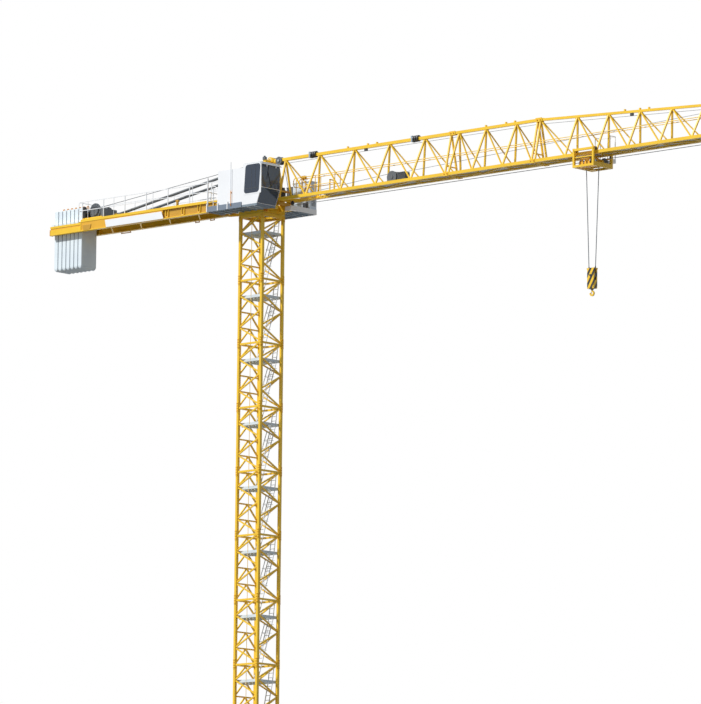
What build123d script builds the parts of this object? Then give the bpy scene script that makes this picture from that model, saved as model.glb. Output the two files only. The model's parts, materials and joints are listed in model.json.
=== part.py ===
"""Flat-top tower crane as a 1:2 scale model: lattice tower, slewing upperworks, trolley and hook."""
import math
import os

from build123d import *

# Driving dimensions in millimetres, at half of full size. +X runs along the jib, +Z is up.
# Tower
SECTION_COUNT = 8
SECTION_HEIGHT = 2070.0
LEG_SPACING = 970.0
LEG_SIZE = 80.0
TOWER_BRACE = 44.0
TOWER_BEAM = 60.0
PANEL_GAP = 0.4
ANCHOR_HEIGHT = 250.0
ANCHOR_PLATE = 320.0
ANCHOR_PLATE_THICK = 40.0
ANCHOR_BOLT_SPACING = 230.0
ANCHOR_BOLT_RADIUS = 15.0
ANCHOR_RIB = 20.0
ANCHOR_RIB_SPAN = 200.0
ANCHOR_RIB_HEIGHT = 150.0
BASE_BEAM_WIDTH = 140.0
BASE_BEAM_HEIGHT = 120.0
EDGE_STRIP = 16.0
PLATFORM_DROP = 580.0
PLATFORM_THICK = 30.0
PLATFORM_HATCH = 340.0
LADDER_WIDTH = 210.0
LADDER_RAIL = 22.0
RUNG_PITCH = 150.0
RUNG = 18.0
LADDER_X = 270.0
LADDER_FOOT_Y = -325.0
LADDER_TOP_Y = 370.0
HATCH_GAP = 40.0
LADDER_HANGER = 70.0

# Slewing ring and platform
RING_SUPPORT_HEIGHT = 60.0
RING_SUPPORT_MARGIN = 2.0
RING_OUTER = 500.0
RING_INNER = 380.0
RING_HEIGHT = 45.0
RING_GAP = 0.3
DECK_BOX_HALF_LENGTH = 525.0
DECK_BOX_NEAR = 400.0
DECK_BOX_FAR = 525.0
DECK_BOX_HEIGHT = 210.0
DECK_BEAM_FRONT = 950.0
DECK_BEAM_REAR = -750.0
DECK_BEAM_INNER = 240.0
DECK_BEAM_OUTER = 400.0
DECK_REAR_LENGTH = 150.0
SKIRT_THICK = 20.0
SKIRT_GAP = 10.0
JIB_LUG_MARGIN = 10.0

# Jib
CHORD = 100.0
CHORD_HALF_SPACING = 300.0
CHORD_RISE = 80.0
JIB_HEIGHT = 1340.0
JIB_BRACE = 50.0
JIB_DIAGONAL = 38.0
TOP_CHORDS = (100.0, 90.0, 78.0, 72.0)
JIB_LACING = 40.0
INNER_SECTION_END = 8220.0
MIDDLE_SECTION_END = 11800.0
OUTER_SECTION_END = 19450.0
LAST_SECTION_LENGTH = 3000.0
FIRST_NODE_INSETS = (80.0, 267.0, 50.0, 187.0)
FIRST_BAYS = (1505.0, 1116.0, 1490.0, 1257.0)
LATER_BAYS = (1505.0, 1256.0, 1257.0, 1257.0)
BRACE_LEANS = (350.0, 330.0, 255.0, 255.0)
FIRST_FOOT_INSET = 60.0
PORTAL_INSET = 70.0
GUSSET = 26.0
GUSSET_HALF = 75.0
GUSSET_GAP = 4.0
TAPER_SLOPE = 0.0506
TIP_LENGTH = 150.0
WALKWAY_HALF_WIDTH = 235.0
WALKWAY_THICK = 15.0
WALKWAY_START = 2750.0
WALKWAY_END_GAP = 10.0
PULLEY_X = 1350.0
PULLEY_DROP = 130.0
PULLEY_RADIUS = 60.0
PULLEY_WIDTH = 40.0
PULLEY_PLATE = 16.0

# Tower head
HEAD_X = 385.0
HEAD_HALF_WIDTH = 290.0
HEAD_BEAM = 110.0
HEAD_POST = 90.0
HEAD_BEAM_DROP = 40.0
HEAD_FRONT_FOOT = 690.0
HEAD_REAR_FOOT = -600.0
HEAD_CROSS_SHARES = (0.35, 0.7)
HEAD_CROSS_BAR = 63.0
CHEEK_INNER = 26.0
SHEAVE_X = 780.0
SHEAVE_DROP = 20.0
SHEAVE_PIN = 15.0
SHEAVE_RADIUS = 115.0
SHEAVE_WIDTH = 40.0
ROPE_RADIUS = 10.0
ROPE_SEAT = 0.8

# Counter-jib
GIRDER_HALF_SPACING = 450.0
GIRDER_DEPTH = 390.0
GIRDER_FLANGE = 140.0
GIRDER_FLANGE_THICK = 24.0
GIRDER_WEB = 16.0
GIRDER_END = -9190.0
GIRDER_STEP_X = -7770.0
GIRDER_DROP = 60.0
GIRDER_STEP = 95.0
CROSS_BEAM = 80.0
CROSS_BEAM_COUNT = 6
SLAB_COUNT = 7
SLAB_PITCH = 186.0
SLAB_THICK = 182.0
SLAB_HALF_WIDTH = 350.0
SLAB_HANG = 1200.0
SLAB_HEIGHT = 2020.0
SLAB_CHAMFER = 55.0
SLAB_EAR = 60.0
SLAB_END_X = -9155.0
COUNTER_DECK_THICK = 18.0
RAIL = 22.0
RAIL_HEIGHT = 600.0
RAIL_BAR = 20.0
RAIL_POST_PITCH = 950.0
TIE = 90.0
TIE_FOOT_X = -6300.0
TIE_HALF_SPACING = 290.0
TIE_LUG = 90.0
DECK_LAP = 30.0
RAIL_END_INSET = 60.0

# Hoist winch
WINCH_X = -7310.0
WINCH_LENGTH = 900.0
WINCH_BED = 50.0
DRUM_RADIUS = 150.0
DRUM_FLANGE_RADIUS = 205.0
DRUM_LENGTH = 420.0
DRUM_FLANGE_THICK = 25.0
DRUM_CLEARANCE = 30.0
WINCH_STAND = 40.0
WINCH_STAND_HALF = 105.0
WINCH_STAND_RISE = 90.0
MOTOR_RADIUS = 130.0
MOTOR_LENGTH = 480.0
MOTOR_FOOT_HALF = 91.0

# Cab and side platforms
CAB_FRONT = 1150.0
CAB_REAR = 350.0
CAB_OUTER_Y = -1280.0
CAB_INNER_Y = -410.0
CAB_DROP = 165.0
CAB_HEIGHT = 1325.0
CAB_WALL = 35.0
CAB_KICK = 185.0
CAB_KICK_HEIGHT = 505.0
GLASS = 12.0
CAB_POST = 40.0
CAB_REAR_POST = 90.0
CAB_HEADER = 45.0
CAB_SILL = 380.0
LOWER_GLASS = (0.05, 0.95)
SIGN_REAR = -760.0
SIGN_HEIGHT = 1215.0
SIGN_THICK = 30.0
SIDE_DECK_THICK = 40.0
SIDE_DECK_REAR = -1250.0
CABINET_LENGTH = 780.0
CABINET_DEPTH = 290.0
CABINET_HEIGHT = 980.0
CABINET_REAR = 420.0
FAR_DECK_REAR = -300.0
FAR_DECK_OUTER = 1290.0

# Trolley, rope falls, hook block and hook
TROLLEY_X = 13955.0
TROLLEY_LENGTH = 845.0
TROLLEY_HALF_WIDTH = 465.0
TROLLEY_POST = 70.0
TROLLEY_DROP = 435.0
TROLLEY_BEAM = 70.0
TROLLEY_RISE = 150.0
WHEEL_RADIUS = 60.0
WHEEL_WIDTH = 30.0
WHEEL_SIDE_GAP = 22.0
SEAT_GAP = 0.3
FALL_LENGTH = 3105.0
FALL_TOP_HALF = 255.0
FALL_BOTTOM_HALF = 130.0
FALL_RADIUS = 9.0
BASKET_LENGTH = 620.0
BASKET_WIDTH = 265.0
BASKET_HEIGHT = 840.0
BASKET_DROP = 210.0
BLOCK_HEIGHT = 640.0
BLOCK_LENGTH = 260.0
BLOCK_CHEEK = 50.0
BLOCK_GAP = 70.0
HOOK_RADIUS = 65.0
HOOK_THICK = 46.0
SHANK_LENGTH = 80.0
BLOCK_BASE = 260.0
BLOCK_SHEAVE_RADIUS = 130.0
TROLLEY_SHEAVE_RADIUS = 85.0
ROPE_CLEARANCE = 6.0

# Trolley winch and rollers on the jib
TROLLEY_WINCH_X = 5750.0
TROLLEY_WINCH_RADIUS = 190.0
TROLLEY_WINCH_HALF_WIDTH = 115.0
TROLLEY_WINCH_RISE = 80.0
TROLLEY_MOTOR_LENGTH = 360.0
TROLLEY_MOTOR_HEIGHT = 290.0
ROLLER_PLACES = (2250.0, 6650.0)
ROLLER_LENGTH = 300.0
ROLLER_SIZE = 60.0

# Levels that follow from the dimensions above
TOWER_TOP_Z = ANCHOR_HEIGHT + SECTION_COUNT * SECTION_HEIGHT
RING_Z = TOWER_TOP_Z + RING_SUPPORT_HEIGHT
RING_UPPER_Z = RING_Z + RING_HEIGHT + RING_GAP
DECK_Z = RING_UPPER_Z + RING_HEIGHT
DECK_TOP_Z = DECK_Z + DECK_BOX_HEIGHT
CHORD_Z = DECK_TOP_Z + CHORD_RISE
TOP_CHORD_Z = CHORD_Z + JIB_HEIGHT
GIRDER_Z = DECK_TOP_Z - GIRDER_DROP
GIRDER_TOP_Z = GIRDER_Z + GIRDER_DEPTH
DRUM_Z = GIRDER_TOP_Z + WINCH_BED + DRUM_FLANGE_RADIUS + DRUM_CLEARANCE
SHEAVE_Z = TOP_CHORD_Z - SHEAVE_DROP
PULLEY_Z = CHORD_Z - PULLEY_DROP
ROPE_Z = PULLEY_Z - PULLEY_RADIUS - ROPE_RADIUS - SEAT_GAP
TROLLEY_SHEAVE_Z = ROPE_Z - ROPE_RADIUS - ROPE_CLEARANCE - TROLLEY_SHEAVE_RADIUS
HEAD_BEAM_Z = TOP_CHORD_Z - HEAD_BEAM_DROP
CAB_FLOOR_Z = DECK_TOP_Z - CAB_DROP
CAB_TOP_Z = CAB_FLOOR_Z + CAB_HEIGHT
TROLLEY_BOTTOM_Z = CHORD_Z - TROLLEY_DROP
TROLLEY_TOP_Z = CHORD_Z + TROLLEY_RISE
BLOCK_TOP_Z = TROLLEY_BOTTOM_Z - FALL_LENGTH
SLAB_BOTTOM_Z = GIRDER_Z - SLAB_HANG
SLAB_TOP_Z = SLAB_BOTTOM_Z + SLAB_HEIGHT
LACING_Z = CHORD_Z - CHORD / 2 + JIB_LACING / 2
WALKWAY_Z = LACING_Z + JIB_LACING / 2
JIB_END = OUTER_SECTION_END + LAST_SECTION_LENGTH
JIB_JOINTS = (DECK_BEAM_FRONT, INNER_SECTION_END, MIDDLE_SECTION_END, OUTER_SECTION_END, JIB_END)


def save(shape, name):
    """Write one named piece of the crane."""
    export_step(shape, f"parts/{name}.step")


def box(low, high):
    """A block between two opposite corners."""
    size = [b - a for a, b in zip(low, high)]
    middle = [(a + b) / 2 for a, b in zip(low, high)]
    return Pos(*middle) * Box(*size)


def bar(start, end, width, depth=None):
    """A square or flat bar from one point to another."""
    a = Vector(*start)
    b = Vector(*end)
    run = b - a
    side = Vector(0, 0, 1) if abs(run.normalized().Z) < 0.9 else Vector(1, 0, 0)
    plane = Plane(origin=(a + b) * 0.5, x_dir=run.cross(side), z_dir=run)
    return plane * Box(width, depth or width, run.length)


def rod(start, end, radius):
    """A round bar from one point to another."""
    a = Vector(*start)
    b = Vector(*end)
    run = b - a
    return Plane(origin=(a + b) * 0.5, z_dir=run) * Cylinder(radius, run.length)


def fuse(pieces):
    """Join bars that cross or meet into one solid."""
    first, *rest = pieces
    return first.fuse(*rest) if rest else first


def group(pieces):
    """Keep separate solids together in one node."""
    return Compound(children=[Solid(piece.solids()[0].wrapped) for piece in pieces])


def cylinder_y(center, radius, width):
    """A round disc or roller whose axle runs across the crane."""
    return Pos(*center) * Rot(90, 0, 0) * Cylinder(radius, width)


def half_leg():
    """Distance from the tower axis to a leg's centre line."""
    return LEG_SPACING / 2


# Tower: base frame, eight lattice sections, rest platforms and ladders
def foot_plate(x, y):
    """One foot plate with its bolt holes, stub post and ribs."""
    plate = Pos(x, y, ANCHOR_PLATE_THICK / 2) * Box(ANCHOR_PLATE, ANCHOR_PLATE, ANCHOR_PLATE_THICK)
    reach = ANCHOR_BOLT_SPACING / 2
    for hx in (-1, 1):
        for hy in (-1, 1):
            hole = Cylinder(ANCHOR_BOLT_RADIUS, 3 * ANCHOR_PLATE_THICK)
            plate -= Pos(x + hx * reach, y + hy * reach, 0) * hole
    post = Pos(x, y, ANCHOR_HEIGHT / 2) * Box(LEG_SIZE, LEG_SIZE, ANCHOR_HEIGHT)
    middle = Pos(x, y, ANCHOR_RIB_HEIGHT / 2)
    rib_x = middle * Box(ANCHOR_RIB_SPAN, ANCHOR_RIB, ANCHOR_RIB_HEIGHT)
    rib_y = middle * Box(ANCHOR_RIB, ANCHOR_RIB_SPAN, ANCHOR_RIB_HEIGHT)
    return [plate, post, rib_x, rib_y]


def base_frame():
    """Four foot plates joined by edge beams and by a cross through the tower's axis."""
    pieces = []
    for sx in (-1, 1):
        for sy in (-1, 1):
            pieces += foot_plate(sx * half_leg(), sy * half_leg())
    for place in (-half_leg(), 0, half_leg()):
        for turn in (0, 90):
            beam = Pos(0, place, BASE_BEAM_HEIGHT / 2) * Box(LEG_SPACING, BASE_BEAM_WIDTH, BASE_BEAM_HEIGHT)
            pieces.append(Rot(0, 0, turn) * beam)
    return fuse(pieces)


def zigzag(z0, start_side, place):
    """Four diagonals that climb one section, turning at quarter heights."""
    quarter = SECTION_HEIGHT / 4
    bars = []
    for i in range(4):
        side = start_side if i % 2 == 0 else -start_side
        foot = place(side * half_leg(), z0 + i * quarter)
        head = place(-side * half_leg(), z0 + (i + 1) * quarter)
        bars.append(bar(foot, head, TOWER_BRACE))
    return bars


def k_bracing(z0, place):
    """Level bars at quarter heights, each with two struts down to the legs."""
    quarter = SECTION_HEIGHT / 4
    bars = []
    for i in range(4):
        low, high = z0 + i * quarter, z0 + (i + 1) * quarter
        if i < 3:
            bars.append(bar(place(-half_leg(), high), place(half_leg(), high), TOWER_BRACE))
        top = high - (TOWER_BEAM if i == 3 else 0)
        for side in (-1, 1):
            bars.append(bar(place(side * half_leg(), low), place(0, top), TOWER_BRACE))
    return bars


def tower_section(index):
    """One lattice section: two sides with legs and two bracing sides between them."""
    z0 = ANCHOR_HEIGHT + index * SECTION_HEIGHT
    z1 = z0 + SECTION_HEIGHT
    beam_z = z1 - TOWER_BEAM / 2
    whole = box((-LEG_SPACING, -LEG_SPACING, z0), (LEG_SPACING, LEG_SPACING, z1))
    sides = []
    for sy in (-1, 1):
        y = sy * half_leg()
        leg = Box(LEG_SIZE, LEG_SIZE, SECTION_HEIGHT)
        pieces = [Pos(sx * half_leg(), y, (z0 + z1) / 2) * leg for sx in (-1, 1)]
        pieces.append(bar((-half_leg(), y, beam_z), (half_leg(), y, beam_z), TOWER_BEAM))
        pieces += zigzag(z0, 1, lambda t, z, y=y: (t, y, z))
        sides.append(fuse(pieces) & whole)
    inner = half_leg() - LEG_SIZE / 2 - PANEL_GAP
    for sx in (-1, 1):
        x = sx * half_leg()
        strip_y = inner - EDGE_STRIP / 2
        strip = Box(LEG_SIZE, EDGE_STRIP, SECTION_HEIGHT)
        pieces = [Pos(x, s * strip_y, (z0 + z1) / 2) * strip for s in (-1, 1)]
        pieces.append(bar((x, -inner, beam_z), (x, inner, beam_z), TOWER_BEAM))
        place = lambda t, z, x=x: (x, t, z)
        pieces += zigzag(z0, 1, place) if sx > 0 else k_bracing(z0, place)
        clip = box((x - LEG_SIZE, -inner, z0), (x + LEG_SIZE, inner, z1))
        sides.append(fuse(pieces) & clip)
    return group(sides)


def platform_z(index):
    """Top face of a rest platform, counted from the bottom section."""
    return ANCHOR_HEIGHT + (index + 1) * SECTION_HEIGHT - PLATFORM_DROP


def tower_platforms():
    """A rest platform in each section, with a hatch for the ladder."""
    reach_x = half_leg() - LEG_SIZE / 2 - SEAT_GAP
    reach_y = half_leg() - LEG_SIZE / 2 - PANEL_GAP - EDGE_STRIP / 2
    plates = []
    for i in range(SECTION_COUNT):
        top = platform_z(i)
        plate = box((-reach_x, -reach_y, top - PLATFORM_THICK), (reach_x, reach_y, top))
        hatch_x = LADDER_WIDTH / 2 + HATCH_GAP
        hatch_low = LADDER_TOP_Y - PLATFORM_HATCH + HATCH_GAP
        hatch_high = LADDER_TOP_Y + HATCH_GAP
        hatch_bottom = (LADDER_X - hatch_x, hatch_low, top - 2 * PLATFORM_THICK)
        plate -= box(hatch_bottom, (LADDER_X + hatch_x, hatch_high, top + PLATFORM_THICK))
        plates.append(plate)
    return group(plates)


def tower_ladders():
    """A leaning ladder from each platform up through the hatch of the next."""
    ladders = []
    for i in range(SECTION_COUNT):
        low = platform_z(i - 1) if i else BASE_BEAM_HEIGHT
        high = platform_z(i)
        rise = high - low
        foot_y = LADDER_FOOT_Y if i else 0
        lean = (LADDER_TOP_Y - foot_y) / rise
        reach = LADDER_RAIL * 2
        pieces = []
        for side in (-1, 1):
            x = LADDER_X + side * (LADDER_WIDTH - LADDER_RAIL) / 2
            rail_foot = (x, foot_y - lean * reach, low - reach)
            pieces.append(bar(rail_foot, (x, LADDER_TOP_Y + lean * reach, high + reach), LADDER_RAIL))
        for step in range(1, int(rise / RUNG_PITCH) + 1):
            z = low + step * RUNG_PITCH
            y = foot_y + lean * step * RUNG_PITCH
            if z < high - LADDER_RAIL:
                half = LADDER_WIDTH / 2 - LADDER_RAIL / 2
                pieces.append(bar((LADDER_X - half, y, z), (LADDER_X + half, y, z), RUNG))
        clip = box((-LEG_SPACING, -LEG_SPACING, low), (LEG_SPACING, LEG_SPACING, high))
        hangers = []
        for side in (-1, 1):
            x = LADDER_X + side * (LADDER_WIDTH - LADDER_RAIL) / 2
            low_corner = (x - LADDER_RAIL / 2, LADDER_TOP_Y - LADDER_RAIL / 2, high)
            high_corner = (x + LADDER_RAIL / 2, LADDER_TOP_Y + LADDER_HANGER, high + LADDER_RAIL)
            hangers.append(box(low_corner, high_corner))
        ladders.append(fuse([fuse(pieces) & clip] + hangers))
    return group(ladders)


def ring(z, height):
    """One half of the slewing ring."""
    return Pos(0, 0, z + height / 2) * (Cylinder(RING_OUTER, height) - Cylinder(RING_INNER, 2 * height))


def ring_support():
    """Square collar on the tower top that carries the slewing ring."""
    side = LEG_SPACING + LEG_SIZE + 2 * RING_SUPPORT_MARGIN
    collar = Box(side, side, RING_SUPPORT_HEIGHT) - Cylinder(RING_INNER, 2 * RING_SUPPORT_HEIGHT)
    return Pos(0, 0, TOWER_TOP_Z + RING_SUPPORT_HEIGHT / 2) * collar


# Upperworks: platform, head, jib and counter-jib
def slewing_platform():
    """Box on the slewing ring with two long beams, a rear crosspiece and lugs for the jib's feet."""
    reach = DECK_BOX_HALF_LENGTH
    pieces = [box((-reach, -DECK_BOX_NEAR, DECK_Z), (reach, DECK_BOX_FAR, DECK_TOP_Z))]
    wide = GIRDER_HALF_SPACING + GIRDER_FLANGE / 2
    pieces.append(box((DECK_BEAM_REAR, -wide, DECK_Z), (DECK_BEAM_REAR + DECK_REAR_LENGTH, wide, DECK_TOP_Z)))
    for sy in (-1, 1):
        inner, outer = sorted((sy * DECK_BEAM_INNER, sy * DECK_BEAM_OUTER))
        pieces.append(box((DECK_BEAM_REAR, inner, DECK_Z), (DECK_BEAM_FRONT, outer, DECK_TOP_Z)))
        y = sy * CHORD_HALF_SPACING
        half = CHORD / 2 + JIB_LUG_MARGIN
        lug_low = (DECK_BEAM_FRONT - CHORD, y - half, DECK_TOP_Z)
        pieces.append(box(lug_low, (DECK_BEAM_FRONT, y + half, CHORD_Z + CHORD / 2)))
    room = reach - SKIRT_THICK
    skirt_z = RING_Z + SKIRT_GAP
    skirt = box((-reach, -reach, skirt_z), (reach, reach, DECK_Z))
    pieces.append(skirt - box((-room, -room, RING_Z), (room, room, DECK_TOP_Z)))
    return fuse(pieces) - Pos(0, 0, DECK_Z) * Cylinder(RING_INNER, 4 * DECK_BOX_HEIGHT)


def head_post(sy, foot_x, size):
    """One raked post of the tower head, from the platform up to the head beam."""
    y = sy * HEAD_HALF_WIDTH
    return bar((foot_x, y, DECK_TOP_Z - HEAD_POST), (HEAD_X, y, HEAD_BEAM_Z), size)


def tower_head():
    """Two raked side frames, the head beam, and two cheek plates for the head sheave."""
    reach = HEAD_HALF_WIDTH + HEAD_POST / 2
    half = HEAD_BEAM / 2
    pieces = [box((HEAD_X - half, -reach, HEAD_BEAM_Z - half), (HEAD_X + half, reach, HEAD_BEAM_Z + half))]
    for sy in (-1, 1):
        pieces += [head_post(sy, foot_x, HEAD_POST) for foot_x in (HEAD_FRONT_FOOT, HEAD_REAR_FOOT)]
        top_half = TOP_CHORDS[0] / 2
        inner, outer = sorted((sy * CHEEK_INNER, sy * top_half))
        low = (HEAD_X, inner, TOP_CHORD_Z - top_half)
        pieces.append(box(low, (DECK_BEAM_FRONT, outer, TOP_CHORD_Z + top_half)))
    for share in HEAD_CROSS_SHARES:
        z = DECK_TOP_Z + share * (HEAD_BEAM_Z - DECK_TOP_Z)
        x = HEAD_REAR_FOOT + share * (HEAD_X - HEAD_REAR_FOOT)
        pieces.append(bar((x, -HEAD_HALF_WIDTH, z), (x, HEAD_HALF_WIDTH, z), HEAD_CROSS_BAR))
    span = 3 * RING_OUTER
    above = box((-span, -span, DECK_TOP_Z), (span, span, 2 * TOP_CHORD_Z))
    return fuse(pieces) & above


def top_z(x):
    """Height of the top chord's centre line, level at first and then falling to the tip."""
    return TOP_CHORD_Z - TAPER_SLOPE * max(0.0, x - MIDDLE_SECTION_END)


def top_nodes(index):
    """Places along the jib where the side braces meet the top chord."""
    first = JIB_JOINTS[index] + FIRST_NODE_INSETS[index]
    second = first + FIRST_BAYS[index]
    last = JIB_JOINTS[index + 1] - PORTAL_INSET - BRACE_LEANS[index]
    later = int((last - second) / LATER_BAYS[index])
    return [first] + [second + i * LATER_BAYS[index] for i in range(later + 1)]


def jib_side(index, sy, chord_room):
    """One braced side of a jib section with its bottom chord."""
    start, end = JIB_JOINTS[index], JIB_JOINTS[index + 1]
    nodes = top_nodes(index)
    foot = end - PORTAL_INSET
    first_foot = nodes[0] if index == 0 else start + FIRST_FOOT_INSET
    feet = [x - BRACE_LEANS[index] for x in nodes[1:]] + [foot]
    y = sy * CHORD_HALF_SPACING
    low = lambda x: (x, y, CHORD_Z)
    high = lambda x: (x, 0, top_z(x))
    half = CHORD / 2
    pieces = [box((start, y - half, CHORD_Z - half), (end, y + half, CHORD_Z + half))]
    pieces.append(bar(low(foot), high(foot), JIB_BRACE))
    for i, node in enumerate(nodes):
        pieces.append(bar(low(feet[i - 1] if i else first_foot), high(node), JIB_BRACE))
        pieces.append(bar(high(node), low(feet[i]), JIB_DIAGONAL))
        drop = (TOP_CHORDS[index] + GUSSET) / 2 + GUSSET_GAP
        share = drop / (top_z(node) - CHORD_Z)
        z = top_z(node) - drop
        back = GUSSET_HALF if i else 0
        pieces.append(bar((node - back, y * share, z), (node + GUSSET_HALF, y * share, z), GUSSET))
    side = fuse(pieces) - chord_room
    keep = box((start, PANEL_GAP / 2, 0), (end, 2 * CHORD_HALF_SPACING, 2 * TOP_CHORD_Z))
    if sy < 0:
        keep = mirror(keep, Plane.XZ)
    return fuse([s for s in (side & keep).solids() if s.volume > CHORD ** 3])


def jib_lacing(index):
    """Floor lacing between the bottom chords of a jib section."""
    start, end = JIB_JOINTS[index], JIB_JOINTS[index + 1]
    nodes = top_nodes(index)
    first_foot = nodes[0] if index == 0 else start + FIRST_FOOT_INSET
    rungs = [first_foot] + [x - BRACE_LEANS[index] for x in nodes[1:]] + [end - PORTAL_INSET]
    inner = CHORD_HALF_SPACING - CHORD / 2 - PANEL_GAP
    edge = inner - JIB_LACING / 2
    pieces = []
    for i, x in enumerate(rungs):
        pieces.append(bar((x, -inner, LACING_Z), (x, inner, LACING_Z), JIB_LACING))
        if i:
            side = 1 if i % 2 else -1
            pieces.append(bar((rungs[i - 1], -side * edge, LACING_Z), (x, side * edge, LACING_Z), JIB_LACING))
    if index == 0:
        pieces.append(bar((PULLEY_X, -inner, LACING_Z), (PULLEY_X, inner, LACING_Z), JIB_LACING))
    clip = box((start, -inner, 0), (end, inner, 2 * TOP_CHORD_Z))
    return fuse(pieces) & clip


def jib_section(index):
    """One jib section: top chord, two braced sides with their bottom chords, and the floor lacing."""
    start, end = JIB_JOINTS[index], JIB_JOINTS[index + 1]
    reach = 2 * CHORD
    slope = (top_z(end) - top_z(start)) / (end - start)
    near_end = (start - reach, 0, top_z(start) - slope * reach)
    far_end = (end + reach, 0, top_z(end) + slope * reach)
    slab = box((start, -CHORD, 0), (end, CHORD, 2 * TOP_CHORD_Z))
    top_chord = bar(near_end, far_end, TOP_CHORDS[index]) & slab
    chord_room = bar(near_end, far_end, TOP_CHORDS[index] + 2 * PANEL_GAP)
    sides = [jib_side(index, sy, chord_room) for sy in (-1, 1)]
    return group([top_chord] + sides + [jib_lacing(index)])


def jib_walkway():
    """Grating walkway laid on the floor lacing, one run in each section."""
    z = WALKWAY_Z
    runs = []
    for i in range(len(JIB_JOINTS) - 1):
        start = max(WALKWAY_START, JIB_JOINTS[i] + WALKWAY_END_GAP)
        end = JIB_JOINTS[i + 1] - WALKWAY_END_GAP
        runs.append(box((start, -WALKWAY_HALF_WIDTH, z), (end, WALKWAY_HALF_WIDTH, z + WALKWAY_THICK)))
    return group(runs)


def jib_tip():
    """End frame that closes the jib and holds the rope's dead end."""
    half = CHORD / 2
    top_half = TOP_CHORDS[-1] / 2
    end = JIB_END + TIP_LENGTH
    tip_top = top_z(JIB_END)
    pieces = []
    for sy in (-1, 1):
        y = sy * CHORD_HALF_SPACING
        pieces.append(box((JIB_END, y - half, CHORD_Z - half), (end, y + half, CHORD_Z + half)))
        pieces.append(bar((JIB_END + half, y, CHORD_Z), (JIB_END + half, 0, tip_top), JIB_BRACE))
    tip_low = (JIB_END, -top_half, tip_top - top_half)
    pieces.append(box(tip_low, (JIB_END + CHORD, top_half, tip_top + top_half)))
    reach = CHORD_HALF_SPACING + half
    pieces.append(box((end - half, -reach, CHORD_Z - half), (end, reach, CHORD_Z + half)))
    pieces.append(box((end - half, -half, ROPE_Z - half), (end, half, CHORD_Z)))
    return fuse(pieces)


def rope_pulley():
    """Grooved pulley under the jib's root that turns the hoist rope along the jib."""
    plate_y = PULLEY_WIDTH / 2 + PULLEY_PLATE / 2
    pieces = [cylinder_y((PULLEY_X, 0, PULLEY_Z), PULLEY_RADIUS, PULLEY_WIDTH)]
    lacing_bottom = LACING_Z - JIB_LACING / 2
    for sy in (-1, 1):
        low = (PULLEY_X - JIB_LACING / 2, sy * plate_y - PULLEY_PLATE / 2, PULLEY_Z - JIB_LACING / 2)
        high = (PULLEY_X + JIB_LACING / 2, sy * plate_y + PULLEY_PLATE / 2, lacing_bottom)
        pieces.append(box(low, high))
    return fuse(pieces)


def head_sheave():
    """Large sheave between the head's cheek plates."""
    return cylinder_y((SHEAVE_X, 0, SHEAVE_Z), SHEAVE_RADIUS, 2 * (CHEEK_INNER - SEAT_GAP))


def hoist_rope():
    """Taut hoist rope: winch to head sheave, down to the root pulley, and along under the jib."""
    lift = ROPE_RADIUS + ROPE_SEAT
    drum_top = DRUM_Z + DRUM_RADIUS + lift
    over = (SHEAVE_X, 0, SHEAVE_Z + SHEAVE_RADIUS + lift)
    front = (SHEAVE_X + SHEAVE_RADIUS + lift, 0, SHEAVE_Z)
    turn = (PULLEY_X - PULLEY_RADIUS - ROPE_RADIUS - SEAT_GAP, 0, PULLEY_Z)
    runs = [((WINCH_X, 0, drum_top), over), (front, turn)]
    runs.append(((PULLEY_X, 0, ROPE_Z), (JIB_END + TIP_LENGTH - CHORD / 2, 0, ROPE_Z)))
    return group([rod(a, b, ROPE_RADIUS) for a, b in runs])


def girder(sy):
    """One I-girder of the counter-jib with its lowered end."""
    y = sy * GIRDER_HALF_SPACING
    half = GIRDER_FLANGE / 2
    web = GIRDER_WEB / 2
    pieces = []
    runs = [(GIRDER_STEP_X, DECK_BEAM_REAR, GIRDER_TOP_Z)]
    runs.append((GIRDER_END, GIRDER_STEP_X, GIRDER_TOP_Z - GIRDER_STEP))
    for x0, x1, top in runs:
        pieces.append(box((x0, y - half, GIRDER_Z), (x1, y + half, GIRDER_Z + GIRDER_FLANGE_THICK)))
        pieces.append(box((x0, y - web, GIRDER_Z), (x1, y + web, top)))
        pieces.append(box((x0, y - half, top - GIRDER_FLANGE_THICK), (x1, y + half, top)))
    step = (GIRDER_STEP_X, y - half, GIRDER_Z)
    pieces.append(box(step, (GIRDER_STEP_X + GIRDER_FLANGE_THICK, y + half, GIRDER_TOP_Z)))
    return pieces


def counter_jib_frame():
    """Two girders joined by cross beams, with lugs for the tie rods."""
    pieces = girder(-1) + girder(1)
    run = (DECK_BEAM_REAR - GIRDER_STEP_X) / CROSS_BEAM_COUNT
    beam_z = GIRDER_TOP_Z - GIRDER_FLANGE_THICK - CROSS_BEAM / 2
    places = [GIRDER_STEP_X + CROSS_BEAM + i * run for i in range(CROSS_BEAM_COUNT)]
    for x in places + [TIE_FOOT_X]:
        pieces.append(bar((x, -GIRDER_HALF_SPACING, beam_z), (x, GIRDER_HALF_SPACING, beam_z), CROSS_BEAM))
    for sy in (-1, 1):
        y = sy * TIE_HALF_SPACING
        low = (TIE_FOOT_X - TIE, y - TIE / 4, beam_z)
        pieces.append(box(low, (TIE_FOOT_X + TIE, y + TIE / 4, GIRDER_TOP_Z + TIE_LUG)))
    return fuse(pieces)


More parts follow.
